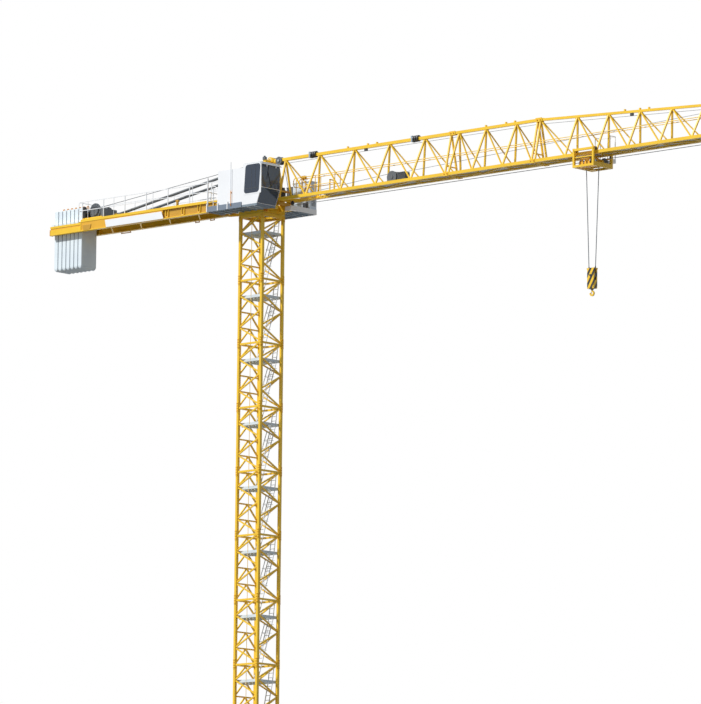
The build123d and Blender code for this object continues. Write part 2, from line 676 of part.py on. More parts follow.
def tie_rods():
    """Two bars from the head's rear posts down to the counter-jib's lugs."""
    rods = []
    for sy in (-1, 1):
        y = sy * TIE_HALF_SPACING
        foot = Vector(TIE_FOOT_X + TIE, y, GIRDER_TOP_Z + TIE_LUG / 2)
        top = Vector(HEAD_X, y, HEAD_BEAM_Z)
        reach = (top - foot).normalized() * (2 * TIE)
        keep = box((foot.X, -GIRDER_HALF_SPACING, GIRDER_TOP_Z), (HEAD_X, GIRDER_HALF_SPACING, 2 * TOP_CHORD_Z))
        room = head_post(sy, HEAD_REAR_FOOT, HEAD_POST + 2 * SEAT_GAP)
        beam_side = HEAD_BEAM + 2 * SEAT_GAP
        beam_room = Pos(HEAD_X, y, HEAD_BEAM_Z) * Box(beam_side, HEAD_BEAM, beam_side)
        cut = (bar(foot - reach, top, TIE) & keep) - room - beam_room
        rods.append(max(cut.solids(), key=lambda solid: solid.volume))
    return group(rods)


def counterweight_slabs():
    """Concrete slabs that hang between the girders by their shoulders."""
    slabs = []
    seat = GIRDER_TOP_Z - GIRDER_STEP
    for i in range(SLAB_COUNT):
        x0 = SLAB_END_X + i * SLAB_PITCH
        x1 = x0 + SLAB_THICK
        body = box((x0, -SLAB_HALF_WIDTH, SLAB_BOTTOM_Z), (x1, SLAB_HALF_WIDTH, SLAB_TOP_Z))
        body = chamfer(body.edges().filter_by(Axis.Y).group_by(Axis.Z)[0], SLAB_CHAMFER)
        ear_reach = GIRDER_HALF_SPACING + GIRDER_FLANGE / 2
        ear = box((x0 + SLAB_EAR / 2, -ear_reach, seat), (x1 - SLAB_EAR / 2, ear_reach, seat + SLAB_EAR))
        slabs.append(fuse([body, ear]))
    return group(slabs)


def counter_jib_deck():
    """Grating deck laid between the girders on their top flanges."""
    inner = GIRDER_HALF_SPACING - GIRDER_FLANGE / 2 + DECK_LAP
    end = DECK_BEAM_REAR - WALKWAY_END_GAP
    return box((TIE_FOOT_X + 3 * TIE, -inner, GIRDER_TOP_Z), (end, inner, GIRDER_TOP_Z + COUNTER_DECK_THICK))


def railing(points, base_z, height, closed_posts):
    """Posts at given places joined by a top rail and a knee rail."""
    pieces = []
    for x, y in closed_posts:
        pieces.append(box((x - RAIL / 2, y - RAIL / 2, base_z), (x + RAIL / 2, y + RAIL / 2, base_z + height)))
    for a, b in zip(points, points[1:]):
        for z in (base_z + height - RAIL / 2, base_z + height / 2):
            pieces.append(bar((*a, z), (*b, z), RAIL_BAR))
    return fuse(pieces)


def counter_jib_railings():
    """A railing along each girder, standing on its top flange."""
    rails = []
    start, end = GIRDER_STEP_X + RAIL_END_INSET, DECK_BEAM_REAR - RAIL_END_INSET
    count = round((end - start) / RAIL_POST_PITCH)
    for sy in (-1, 1):
        y = sy * (GIRDER_HALF_SPACING + GIRDER_FLANGE / 2 - RAIL)
        posts = [(start + i * (end - start) / count, y) for i in range(count + 1)]
        rails.append(railing([posts[0], posts[-1]], GIRDER_TOP_Z, RAIL_HEIGHT, posts))
    return group(rails)


def winch_bed():
    """Base frame of the hoist winch with two bearing stands."""
    half_x = WINCH_LENGTH / 2
    reach = GIRDER_HALF_SPACING
    bed_top = GIRDER_TOP_Z + WINCH_BED
    pieces = [box((WINCH_X - half_x, -reach, GIRDER_TOP_Z), (WINCH_X + half_x, reach, bed_top))]
    stand_y = DRUM_LENGTH / 2 + DRUM_FLANGE_THICK + SEAT_GAP
    for sy in (-1, 1):
        inner, outer = sorted((sy * stand_y, sy * (stand_y + WINCH_STAND)))
        low = (WINCH_X - WINCH_STAND_HALF, inner, GIRDER_TOP_Z)
        pieces.append(box(low, (WINCH_X + WINCH_STAND_HALF, outer, DRUM_Z + WINCH_STAND_RISE)))
    return fuse(pieces)


def winch_drum():
    """Rope drum with its end flanges, carried between the bearing stands."""
    pieces = [cylinder_y((WINCH_X, 0, DRUM_Z), DRUM_RADIUS, DRUM_LENGTH)]
    for sy in (-1, 1):
        y = sy * (DRUM_LENGTH + DRUM_FLANGE_THICK) / 2
        pieces.append(cylinder_y((WINCH_X, y, DRUM_Z), DRUM_FLANGE_RADIUS, DRUM_FLANGE_THICK))
    return fuse(pieces)


def winch_motor():
    """Motor and gear case beside the drum, on the winch bed."""
    bed = GIRDER_TOP_Z + WINCH_BED
    x = WINCH_X - WINCH_LENGTH / 2 + MOTOR_RADIUS
    low = (x - MOTOR_FOOT_HALF, -MOTOR_LENGTH / 2, bed)
    foot = box(low, (x + MOTOR_FOOT_HALF, MOTOR_LENGTH / 2, bed + MOTOR_RADIUS))
    barrel = cylinder_y((x, 0, bed + MOTOR_RADIUS), MOTOR_RADIUS, MOTOR_LENGTH)
    return fuse([foot, barrel])


def cab_outline(inset):
    """Side outline of the cab, with the sloping lower front."""
    slope = math.atan2(CAB_KICK, CAB_KICK_HEIGHT)
    low, high = CAB_FLOOR_Z + inset, CAB_TOP_Z - inset
    rear, front = CAB_REAR + inset, CAB_FRONT - inset
    knee_z = CAB_FLOOR_Z + CAB_KICK_HEIGHT + inset * math.tan(slope / 2)
    toe_x = front - (knee_z - low) * math.tan(slope)
    return [(rear, low), (toe_x, low), (front, knee_z), (front, high), (rear, high)]


def side_prism(points, y0, y1):
    """A side outline carried across the crane from one side to the other."""
    face = make_face(Polyline(*[(x, 0, z) for x, z in points], close=True))
    return Pos(0, y0, 0) * extrude(face, y1 - y0, dir=(0, 1, 0))


def slope_band(start, end, near, far):
    """A strip of the sloping front, between two shares of its length and two depths."""
    toe = Vector(CAB_FRONT - CAB_KICK, 0, CAB_FLOOR_Z)
    knee = Vector(CAB_FRONT, 0, CAB_FLOOR_Z + CAB_KICK_HEIGHT)
    run = knee - toe
    inward = Vector(-run.Z, 0, run.X).normalized()
    places = [(start, near), (end, near), (end, far), (start, far)]
    points = [toe + run * share + inward * depth for share, depth in places]
    return [(p.X, p.Z) for p in points]


def window_rooms(gap, near, far):
    """Blocks that fill the cab's window openings, less a gap, between two depths of the wall."""
    low_y, high_y = CAB_OUTER_Y + CAB_POST + gap, CAB_INNER_Y - CAB_POST - gap
    sill = CAB_FLOOR_Z + CAB_KICK_HEIGHT + CAB_POST
    head = CAB_TOP_Z - CAB_HEADER
    front = box((CAB_FRONT - far, low_y, sill + gap), (CAB_FRONT - near, high_y, head - gap))
    share = gap / math.hypot(CAB_KICK, CAB_KICK_HEIGHT)
    lower = side_prism(slope_band(LOWER_GLASS[0] + share, LOWER_GLASS[1] - share, near, far), low_y, high_y)
    side_low = (CAB_REAR + CAB_REAR_POST + gap, CAB_OUTER_Y + near, CAB_FLOOR_Z + CAB_SILL + gap)
    side_high = (CAB_FRONT - CAB_POST - gap, CAB_OUTER_Y + far, head - gap)
    return [front, lower, box(side_low, side_high)]


def cab_shell():
    """Hollow cab with openings for its front, lower and side windows."""
    shell = side_prism(cab_outline(0), CAB_OUTER_Y, CAB_INNER_Y)
    shell -= side_prism(cab_outline(CAB_WALL), CAB_OUTER_Y + CAB_WALL, CAB_INNER_Y - CAB_WALL)
    for room in window_rooms(0, -CAB_WALL, 2 * CAB_WALL):
        shell -= room
    return shell


def cab_glass():
    """Window panes set in the cab's openings."""
    depth = (CAB_WALL - GLASS) / 2
    return group(window_rooms(SEAT_GAP, depth, depth + GLASS))


def side_deck(sy, front, rear, outer):
    """Walkway beside the slewing platform, set against its flank."""
    low, high = CAB_FLOOR_Z - SIDE_DECK_THICK, CAB_FLOOR_Z
    flank = DECK_BOX_FAR if sy > 0 else DECK_BOX_NEAR
    wide = GIRDER_HALF_SPACING + GIRDER_FLANGE / 2 + SEAT_GAP
    split = DECK_BEAM_REAR + DECK_REAR_LENGTH
    pieces = [box((max(rear, split), flank, low), (front, outer, high))]
    if rear < split:
        pieces.append(box((rear, wide, low), (split, outer, high)))
    deck = fuse(pieces)
    return deck if sy > 0 else mirror(deck, Plane.XZ)


def cab_deck_railing():
    """Railing round the walkway behind the cab."""
    y = CAB_OUTER_Y + RAIL
    inner = -(GIRDER_HALF_SPACING + GIRDER_FLANGE)
    rear = SIDE_DECK_REAR + RAIL
    front = SIGN_REAR - RAIL
    corners = [(front, y), (rear, y), (rear, inner)]
    return railing(corners, CAB_FLOOR_Z, RAIL_HEIGHT, corners)


def far_deck_railing():
    """Railing round the far walkway."""
    y = FAR_DECK_OUTER - RAIL
    rear = FAR_DECK_REAR + RAIL
    front = CABINET_REAR - RAIL
    inner = DECK_BOX_FAR + 2 * RAIL
    corners = [(front, y), (rear, y), (rear, inner)]
    return railing(corners, CAB_FLOOR_Z, RAIL_HEIGHT, corners)


def sign_panel():
    """Plain panel on the walkway behind the cab."""
    low = (SIGN_REAR, CAB_OUTER_Y, CAB_FLOOR_Z)
    return box(low, (CAB_REAR - SEAT_GAP, CAB_OUTER_Y + SIGN_THICK, CAB_FLOOR_Z + SIGN_HEIGHT))


def switch_cabinet():
    """Electrical cabinet on the far walkway."""
    low = (CABINET_REAR, FAR_DECK_OUTER - CABINET_DEPTH, CAB_FLOOR_Z)
    return box(low, (CABINET_REAR + CABINET_LENGTH, FAR_DECK_OUTER, CAB_FLOOR_Z + CABINET_HEIGHT))


def trolley_winch():
    """Small winch on the jib walkway that pulls the trolley."""
    floor = WALKWAY_Z + WALKWAY_THICK
    z = floor + TROLLEY_WINCH_RADIUS + PULLEY_PLATE
    radius, half = TROLLEY_WINCH_RADIUS, TROLLEY_WINCH_HALF_WIDTH
    pieces = [cylinder_y((TROLLEY_WINCH_X, 0, z), radius, 2 * half)]
    for sy in (-1, 1):
        low = (TROLLEY_WINCH_X - radius, sy * half - PULLEY_PLATE / 2, floor)
        high = (TROLLEY_WINCH_X + radius, sy * half + PULLEY_PLATE / 2, z + TROLLEY_WINCH_RISE)
        pieces.append(box(low, high))
    motor_x = TROLLEY_WINCH_X + radius
    low = (motor_x - PULLEY_PLATE, -half, floor)
    pieces.append(box(low, (motor_x + TROLLEY_MOTOR_LENGTH, half, floor + TROLLEY_MOTOR_HEIGHT)))
    return fuse(pieces)


def chord_rollers():
    """Rope roller boxes strapped on the top chord."""
    boxes = []
    half = ROLLER_LENGTH / 2
    z = TOP_CHORD_Z + TOP_CHORDS[0] / 2
    for x in ROLLER_PLACES:
        boxes.append(box((x - half, -ROLLER_SIZE / 2, z), (x + half, ROLLER_SIZE / 2, z + ROLLER_SIZE)))
    return group(boxes)


# Trolley, rope falls, hook block and hook
def trolley_frame():
    """Trolley frame: four corner posts, side plates and a bottom frame with sheave beams."""
    half_x, half_y = TROLLEY_LENGTH / 2, TROLLEY_HALF_WIDTH
    post = TROLLEY_POST
    pieces = []
    for sx in (-1, 1):
        for sy in (-1, 1):
            x0, y0 = TROLLEY_X + sx * (half_x - post / 2), sy * (half_y - post / 2)
            low = (x0 - post / 2, y0 - post / 2, TROLLEY_BOTTOM_Z)
            pieces.append(box(low, (x0 + post / 2, y0 + post / 2, TROLLEY_TOP_Z)))
        x = TROLLEY_X + sx * (half_x - post / 2)
        low = (x - post / 2, -half_y, TROLLEY_BOTTOM_Z)
        pieces.append(box(low, (x + post / 2, half_y, TROLLEY_BOTTOM_Z + TROLLEY_BEAM)))
    for sy in (-1, 1):
        y = sy * (half_y - post / 2)
        for z in (TROLLEY_BOTTOM_Z, TROLLEY_TOP_Z - TROLLEY_BEAM):
            low = (TROLLEY_X - half_x, y - post / 2, z)
            pieces.append(box(low, (TROLLEY_X + half_x, y + post / 2, z + TROLLEY_BEAM)))
    for sy in (-1, 1):
        y = sy * (SHEAVE_WIDTH / 2 + PULLEY_PLATE / 2 + SEAT_GAP)
        low = (TROLLEY_X - half_x, y - PULLEY_PLATE / 2, TROLLEY_BOTTOM_Z)
        pieces.append(box(low, (TROLLEY_X + half_x, y + PULLEY_PLATE / 2, TROLLEY_SHEAVE_Z + TROLLEY_POST)))
    return fuse(pieces)


def trolley_sheaves():
    """Two sheaves between the trolley's middle plates, above the rope falls."""
    offset = FALL_TOP_HALF - TROLLEY_SHEAVE_RADIUS - FALL_RADIUS - SEAT_GAP
    places = [(TROLLEY_X + sx * offset, 0, TROLLEY_SHEAVE_Z) for sx in (-1, 1)]
    return group([cylinder_y(place, TROLLEY_SHEAVE_RADIUS, SHEAVE_WIDTH) for place in places])


def trolley_wheels():
    """Four wheels on stub axles that run on the bottom chords."""
    wheels = []
    z = CHORD_Z + CHORD / 2 + WHEEL_RADIUS + SEAT_GAP
    inner = CHORD_HALF_SPACING + WHEEL_SIDE_GAP
    for sx in (-1, 1):
        for sy in (-1, 1):
            x = TROLLEY_X + sx * (TROLLEY_LENGTH / 2 - TROLLEY_POST / 2)
            wheel = cylinder_y((x, sy * (inner + WHEEL_WIDTH / 2), z), WHEEL_RADIUS, WHEEL_WIDTH)
            post_face = sy * (TROLLEY_HALF_WIDTH - TROLLEY_POST)
            axle = rod((x, sy * (inner + WHEEL_WIDTH / 2), z), (x, post_face, z), SHEAVE_PIN)
            wheels.append(fuse([wheel, axle]))
    return group(wheels)


def maintenance_basket():
    """Open service basket hung on the far side of the trolley."""
    y0 = TROLLEY_HALF_WIDTH
    y1 = y0 + BASKET_WIDTH
    x0, x1 = TROLLEY_X - BASKET_LENGTH / 2, TROLLEY_X + BASKET_LENGTH / 2
    z0 = CHORD_Z - BASKET_DROP
    z1 = z0 + BASKET_HEIGHT
    pieces = [box((x0, y0, z0), (x1, y1, z0 + RAIL))]
    for x in (x0 + RAIL / 2, (x0 + x1) / 2, x1 - RAIL / 2):
        pieces.append(box((x - RAIL / 2, y1 - RAIL, z0), (x + RAIL / 2, y1, z1)))
    for x in (x0 + RAIL / 2, x1 - RAIL / 2):
        pieces.append(box((x - RAIL / 2, y0, z0), (x + RAIL / 2, y0 + RAIL, z1)))
    for z in (z0 + BASKET_HEIGHT / 2, z1 - RAIL):
        pieces.append(box((x0, y1 - RAIL, z), (x1, y1, z + RAIL)))
        for x in (x0, x1 - RAIL):
            pieces.append(box((x, y0, z), (x + RAIL, y1, z + RAIL)))
    return fuse(pieces)


def rope_falls():
    """Two rope falls from the trolley's sheaves down to the hook block."""
    falls = []
    for sx in (-1, 1):
        top = (TROLLEY_X + sx * FALL_TOP_HALF, 0, TROLLEY_SHEAVE_Z)
        foot = (TROLLEY_X + sx * FALL_BOTTOM_HALF, 0, BLOCK_TOP_Z + SEAT_GAP)
        long_rod = rod(top, (foot[0], 0, foot[2] - 2 * FALL_RADIUS), FALL_RADIUS)
        keep = box((0, -CHORD, foot[2]), (2 * TROLLEY_X, CHORD, top[2]))
        falls.append(long_rod & keep)
    return group(falls)


def block_body():
    """Hook block: two cheek plates, rope sockets and a weighted lower body."""
    half = BLOCK_LENGTH / 2
    low = BLOCK_TOP_Z - BLOCK_HEIGHT
    cheek_y = BLOCK_GAP / 2 + BLOCK_CHEEK
    pieces = []
    for sy in (-1, 1):
        y0, y1 = sorted((sy * BLOCK_GAP / 2, sy * cheek_y))
        pieces.append(box((TROLLEY_X - half, y0, low), (TROLLEY_X + half, y1, BLOCK_TOP_Z - BLOCK_CHEEK)))
    pieces.append(box((TROLLEY_X - half, -cheek_y, low), (TROLLEY_X + half, cheek_y, low + BLOCK_BASE)))
    ear = FALL_BOTTOM_HALF + 2 * FALL_RADIUS
    cap_low = (TROLLEY_X - ear, -cheek_y, BLOCK_TOP_Z - BLOCK_CHEEK)
    pieces.append(box(cap_low, (TROLLEY_X + ear, cheek_y, BLOCK_TOP_Z)))
    return fuse(pieces)


def block_sheave():
    """Sheave between the hook block's cheeks."""
    z = BLOCK_TOP_Z - BLOCK_CHEEK - BLOCK_SHEAVE_RADIUS - BLOCK_CHEEK
    return cylinder_y((TROLLEY_X, 0, z), BLOCK_SHEAVE_RADIUS, BLOCK_GAP - 2 * SEAT_GAP)


def hook():
    """Forged hook below the block, turning on its shank."""
    top = BLOCK_TOP_Z - BLOCK_HEIGHT - SEAT_GAP
    centre = (TROLLEY_X, 0, top - SHANK_LENGTH - HOOK_RADIUS)
    ring_body = cylinder_y(centre, HOOK_RADIUS + HOOK_THICK / 2, HOOK_THICK)
    ring_body -= cylinder_y(centre, HOOK_RADIUS - HOOK_THICK / 2, 2 * HOOK_THICK)
    reach = HOOK_RADIUS + HOOK_THICK
    mouth_low = (TROLLEY_X - reach, -HOOK_THICK, centre[2] + HOOK_THICK / 4)
    ring_body -= box(mouth_low, (TROLLEY_X - HOOK_THICK / 4, HOOK_THICK, centre[2] + reach))
    shank = rod((TROLLEY_X, 0, top), (TROLLEY_X, 0, centre[2] + HOOK_RADIUS - HOOK_THICK / 2), HOOK_THICK / 2)
    return fuse([shank, ring_body])


def main():
    """Build every piece and write it to its own file."""
    os.makedirs("parts", exist_ok=True)
    save(base_frame(), "base_frame")
    for i in range(SECTION_COUNT):
        save(tower_section(i), f"tower_section_{i + 1}")
    save(tower_platforms(), "tower_platforms")
    save(tower_ladders(), "tower_ladders")
    save(ring_support(), "slewing_ring_support")
    save(ring(RING_Z, RING_HEIGHT), "slewing_ring_lower")
    save(ring(RING_UPPER_Z, RING_HEIGHT), "slewing_ring_upper")
    save(slewing_platform(), "slewing_platform")
    save(tower_head(), "tower_head")
    for i in range(len(JIB_JOINTS) - 1):
        save(jib_section(i), f"jib_section_{i + 1}")
    save(jib_walkway(), "jib_walkway")
    save(jib_tip(), "jib_tip")
    save(rope_pulley(), "rope_pulley")
    save(head_sheave(), "head_sheave")
    save(hoist_rope(), "hoist_rope")
    save(counter_jib_frame(), "counter_jib_frame")
    save(tie_rods(), "tie_rods")
    save(counterweight_slabs(), "counterweight_slabs")
    save(counter_jib_deck(), "counter_jib_deck")
    save(counter_jib_railings(), "counter_jib_railings")
    save(winch_bed(), "winch_bed")
    save(winch_drum(), "winch_drum")
    save(winch_motor(), "winch_motor")
    save(cab_shell(), "cab_shell")
    save(cab_glass(), "cab_glass")
    save(side_deck(-1, CAB_FRONT - CAB_KICK, SIDE_DECK_REAR, -CAB_OUTER_Y), "cab_deck")
    save(side_deck(1, CABINET_REAR + CABINET_LENGTH, FAR_DECK_REAR, FAR_DECK_OUTER), "far_deck")
    save(cab_deck_railing(), "cab_deck_railing")
    save(far_deck_railing(), "far_deck_railing")
    save(sign_panel(), "sign_panel")
    save(switch_cabinet(), "switch_cabinet")
    save(trolley_winch(), "trolley_winch")
    save(chord_rollers(), "chord_rollers")
    save(trolley_frame(), "trolley_frame")
    save(trolley_sheaves(), "trolley_sheaves")
    save(trolley_wheels(), "trolley_wheels")
    save(maintenance_basket(), "maintenance_basket")
    save(rope_falls(), "rope_falls")
    save(block_body(), "hook_block")
    save(block_sheave(), "hook_block_sheave")
    save(hook(), "hook")


main()
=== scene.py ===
"""Flat-top tower crane, dressed for a product view: materials, fittings, ropes, light and camera."""

import json
import math

import bpy
from mathutils import Matrix, Vector


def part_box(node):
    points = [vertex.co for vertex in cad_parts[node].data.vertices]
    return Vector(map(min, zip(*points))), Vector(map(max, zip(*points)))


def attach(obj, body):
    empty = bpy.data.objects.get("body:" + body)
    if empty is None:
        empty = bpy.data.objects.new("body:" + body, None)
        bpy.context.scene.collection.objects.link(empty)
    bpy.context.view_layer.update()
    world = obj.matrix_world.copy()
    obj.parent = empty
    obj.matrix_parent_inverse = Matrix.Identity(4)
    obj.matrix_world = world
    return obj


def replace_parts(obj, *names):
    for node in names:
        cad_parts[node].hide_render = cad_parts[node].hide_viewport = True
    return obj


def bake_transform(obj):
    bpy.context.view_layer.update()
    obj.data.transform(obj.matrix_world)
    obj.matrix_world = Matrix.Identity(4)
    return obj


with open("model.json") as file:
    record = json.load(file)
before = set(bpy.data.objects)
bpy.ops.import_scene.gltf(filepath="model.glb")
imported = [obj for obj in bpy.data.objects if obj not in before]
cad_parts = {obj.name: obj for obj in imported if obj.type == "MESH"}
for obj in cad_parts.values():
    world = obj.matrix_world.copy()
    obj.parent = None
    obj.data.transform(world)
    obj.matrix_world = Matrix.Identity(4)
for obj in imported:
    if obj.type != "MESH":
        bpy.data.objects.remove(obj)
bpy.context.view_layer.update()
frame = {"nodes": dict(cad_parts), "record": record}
NODES = frame["nodes"]

# Sizes and places in metres, to match the solids
# Tower
SECTION = 2.07
TOWER_FOOT = 0.25
SECTIONS = 8
LEG = 0.485
LEG_FACE = 0.525
TOWER_TOP = TOWER_FOOT + SECTIONS * SECTION
PLATFORM_DROP = 0.58
CORNERS = [(sx, sy) for sx in (-1, 1) for sy in (-1, 1)]
# Cab
CAB_FLOOR = 17.0053
CAB_TOP = 18.3303
CAB_SIDE = -1.28
CAB_FRONT = 1.15
# Jib: chord heights, joints between sections, half depths and taper of the top chord, walkway
CHORD_Z = 17.2503
TOP_Z = 18.5903
JIB_JOINTS = (8.22, 11.8, 19.45)
TOP_HALVES = (0.050, 0.045, 0.039)
TIP_HALF = 0.036
TAPER_START = JIB_JOINTS[1]
TAPER = 0.0506
JIB_WALK_END = 22.4
# Counterweight
SLABS = 7
SLAB_START = -9.155
SLAB_PITCH = 0.186
SLAB_HALF = 0.091
# Boxes of nodes, and the trolley's posts
TROLLEY_X = sum(c.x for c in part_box("trolley_frame")) / 2
TROLLEY_LOW, TROLLEY_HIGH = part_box("trolley_frame")
TROLLEY_ENDS = (TROLLEY_LOW.x + 0.035, TROLLEY_HIGH.x - 0.035)
TROLLEY_POST = 0.43
BLOCK_LOW, BLOCK_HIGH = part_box("hook_block")
FALLS_LOW, FALLS_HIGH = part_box("rope_falls")
DRUM_LOW, DRUM_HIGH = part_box("winch_drum")

ALONG_X, ALONG_Y, ALONG_Z = (1, 0, 0), (0, 1, 0), (0, 0, 1)
SHARP = math.radians(35)


def linear(colour):
    """Screen colour to the linear values that shaders use."""
    return [c / 12.92 if c <= 0.04045 else ((c + 0.055) / 1.055) ** 2.4 for c in colour]


def guide(run):
    """A direction well off the run, to square its cross-section with."""
    return Vector(ALONG_Z) if abs(run.z) < 0.9 else Vector(ALONG_X)


class Shape:
    """Collects simple solids into one mesh."""

    def __init__(self):
        self.verts = []
        self.faces = []

    def add(self, verts, faces):
        first = len(self.verts)
        self.verts += [tuple(v) for v in verts]
        self.faces += [[first + i for i in face] for face in faces]
        return self

    def stack(self, rings):
        """A skin over rings with the same number of points, capped at both ends."""
        count = len(rings[0])
        last = count * (len(rings) - 1)
        faces = [tuple(range(count))[::-1], tuple(range(last, last + count))]
        for first in range(0, last, count):
            for i in range(count):
                j = (i + 1) % count
                faces.append((first + i, first + j, first + count + j, first + count + i))
        return self.add([point for ring in rings for point in ring], faces)

    def box(self, low, high):
        (x0, y0, z0), (x1, y1, z1) = low, high
        plan = ((x0, y0), (x1, y0), (x1, y1), (x0, y1))
        return self.stack([[(x, y, z) for x, y in plan] for z in (z0, z1)])

    def bar(self, a, b, width, depth=None):
        """A square or flat bar between two points."""
        a, b = Vector(a), Vector(b)
        run = (b - a).normalized()
        side = run.cross(guide(run)).normalized() * (width / 2)
        up = side.cross(run).normalized() * ((depth or width) / 2)
        corners = [-side - up, side - up, side + up, -side + up]
        return self.stack([[end + c for c in corners] for end in (a, b)])

    def tube(self, points, radius, sides=8, closed=False):
        """A round bar along the points; closed joins its ends."""
        points = [Vector(p) for p in points]
        count = len(points)
        verts = []
        side = None
        for i, point in enumerate(points):
            before = points[i - 1] if i or closed else point
            after = points[(i + 1) % count] if i + 1 < count or closed else point
            run = (after - before).normalized()
            if side is None:
                side = run.cross(guide(run))
            side = (side - run * side.dot(run)).normalized()
            up = run.cross(side)
            for k in range(sides):
                turn = 2 * math.pi * k / sides
                verts.append(point + (side * math.cos(turn) + up * math.sin(turn)) * radius)
        faces = []
        for i in range(count if closed else count - 1):
            j = (i + 1) % count
            for k in range(sides):
                n = (k + 1) % sides
                faces.append((i * sides + k, i * sides + n, j * sides + n, j * sides + k))
        if not closed:
            faces.append(tuple(range(sides))[::-1])
            faces.append(tuple((count - 1) * sides + k for k in range(sides)))
        return self.add(verts, faces)

    def rod(self, a, b, radius, sides=10):
        return self.tube([a, b], radius, sides)

    def disc(self, centre, radius, width, axis, sides=32):
        half = Vector(axis).normalized() * (width / 2)
        return self.tube([Vector(centre) - half, Vector(centre) + half], radius, sides)

    def prism(self, points, low, high, place):
        """A flat outline carried between two depths; place turns (u, v, depth) into a point."""
        return self.stack([[place(u, v, d) for u, v in points] for d in (low, high)])

    def frame(self, outer, inner, low, high, place):
        """A flat ring between two outlines with the same number of points."""
        count = len(outer)
        verts = [place(u, v, d) for d in (low, high) for line in (outer, inner) for u, v in line]
        faces = []
        for i in range(count):
            j = (i + 1) % count
            a, b, c, d = 0, count, 2 * count, 3 * count
            faces += [(a + i, b + i, b + j, a + j), (c + i, c + j, d + j, d + i)]
            faces += [(a + i, a + j, c + j, c + i), (b + i, d + i, d + j, b + j)]
        return self.add(verts, faces)

    def make(self, name, body, material, slot, smooth=True, bevel=0.0):
        """Turn the collected solids into a piece that rides on a body."""
        mesh = bpy.data.meshes.new(name)
        mesh.from_pydata(self.verts, [], self.faces)
        mesh.validate()
        mesh.update()
        obj = bpy.data.objects.new(name, mesh)
        bpy.context.scene.collection.objects.link(obj)
        if smooth:
            mesh.polygons.foreach_set("use_smooth", [True] * len(mesh.polygons))
            mesh.set_sharp_from_angle(angle=SHARP)
        if bevel:
            edge = obj.modifiers.new("edge", "BEVEL")
            edge.width = bevel
            edge.segments = 2
            edge.limit_method = "ANGLE"
        mesh.materials.append(material)
        if body:
            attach(obj, body)
        return obj


def rounded(low, high, radius, steps=5):
    """Outline of a rectangle with rounded corners."""
    (u0, v0), (u1, v1) = low, high
    centres = [(u1 - radius, v0 + radius, -90), (u1 - radius, v1 - radius, 0),
               (u0 + radius, v1 - radius, 90), (u0 + radius, v0 + radius, 180)]
    points = []
    for u, v, start in centres:
        for i in range(steps + 1):
            turn = math.radians(start + 90 * i / steps)
            points.append((u + radius * math.cos(turn), v + radius * math.sin(turn)))
    return points


def trapezium(middle, foot, head, low, high):
    """An outline with the half widths foot and head at two heights."""
    return [(middle - foot, low), (middle + foot, low), (middle + head, high), (middle - head, high)]


def upright(u, v, depth):
    """Place an outline in a plane along X and Z."""
    return (u, depth, v)


def platform_top(i):
    """Upper face of the rest platform in one tower section."""
    return TOWER_FOOT + (i + 1) * SECTION - PLATFORM_DROP


def top_z(x):
    """Height of the top chord's centre line."""
    return TOP_Z - TAPER * max(0.0, x - TAPER_START)


def top_half(x):
    """Half the top chord's depth, which falls from section to section."""
    for end, size in zip(JIB_JOINTS, TOP_HALVES):
        if x < end:
            return size
    return TIP_HALF


# Materials
def new_material(name):
    """A material, the calls that add and link its nodes, and its main shader."""
    material = bpy.data.materials.new(name)
    material.use_nodes = True
    tree = material.node_tree
    return material, tree.nodes.new, tree.links.new, tree.nodes["Principled BSDF"]


def put(node, **values):
    """Set inputs of a node; an underscore stands for the space in an input's name."""
    for name, value in values.items():
        node.inputs[name.replace("_", " ")].default_value = value


def worn_paint(name, colour, rough, spread=0.06, scale=3.0, metallic=0.0, bump=0.0, grime=0.0):
    """Paint or metal whose colour and gloss vary a little over the surface."""
    material, new, link, shader = new_material(name)
    base = linear(colour)
    place = new("ShaderNodeTexCoord")
    noise = new("ShaderNodeTexNoise")
    put(noise, Scale=scale, Detail=6)
    link(place.outputs["Object"], noise.inputs["Vector"])
    ramp = new("ShaderNodeValToRGB")
    low, high = ramp.color_ramp.elements
    low.position, high.position = 0.3, 0.7
    low.color = [c * (1 - spread - grime) for c in base] + [1]
    high.color = [min(1, c * (1 + spread)) for c in base] + [1]
    link(noise.outputs["Fac"], ramp.inputs["Fac"])
    link(ramp.outputs["Color"], shader.inputs["Base Color"])
    gloss = new("ShaderNodeMapRange")
    put(gloss, To_Min=rough * 0.85, To_Max=min(1, rough * 1.15))
    link(noise.outputs["Fac"], gloss.inputs["Value"])
    link(gloss.outputs["Result"], shader.inputs["Roughness"])
    put(shader, Metallic=metallic)
    if bump:
        fine = new("ShaderNodeTexNoise")
        put(fine, Scale=60)
        link(place.outputs["Object"], fine.inputs["Vector"])
        rise = new("ShaderNodeBump")
        put(rise, Distance=bump)
        link(fine.outputs["Fac"], rise.inputs["Height"])
        link(rise.outputs["Normal"], shader.inputs["Normal"])
    return material


def grating(name, colour, gap, pitch):
    """Steel grating: a grid of bars with darker gaps between."""
    material, new, link, shader = new_material(name)
    place = new("ShaderNodeTexCoord")
    bricks = new("ShaderNodeTexBrick")
    bricks.offset = 0
    put(bricks, Scale=1 / pitch, Brick_Width=1.0, Row_Height=1.0, Mortar_Size=0.22,
        Color1=linear(gap) + [1], Color2=[c * 0.8 for c in linear(gap)] + [1], Mortar=linear(colour) + [1])
    link(place.outputs["Object"], bricks.inputs["Vector"])
    link(bricks.outputs["Color"], shader.inputs["Base Color"])
    put(shader, Roughness=0.55)
    return material


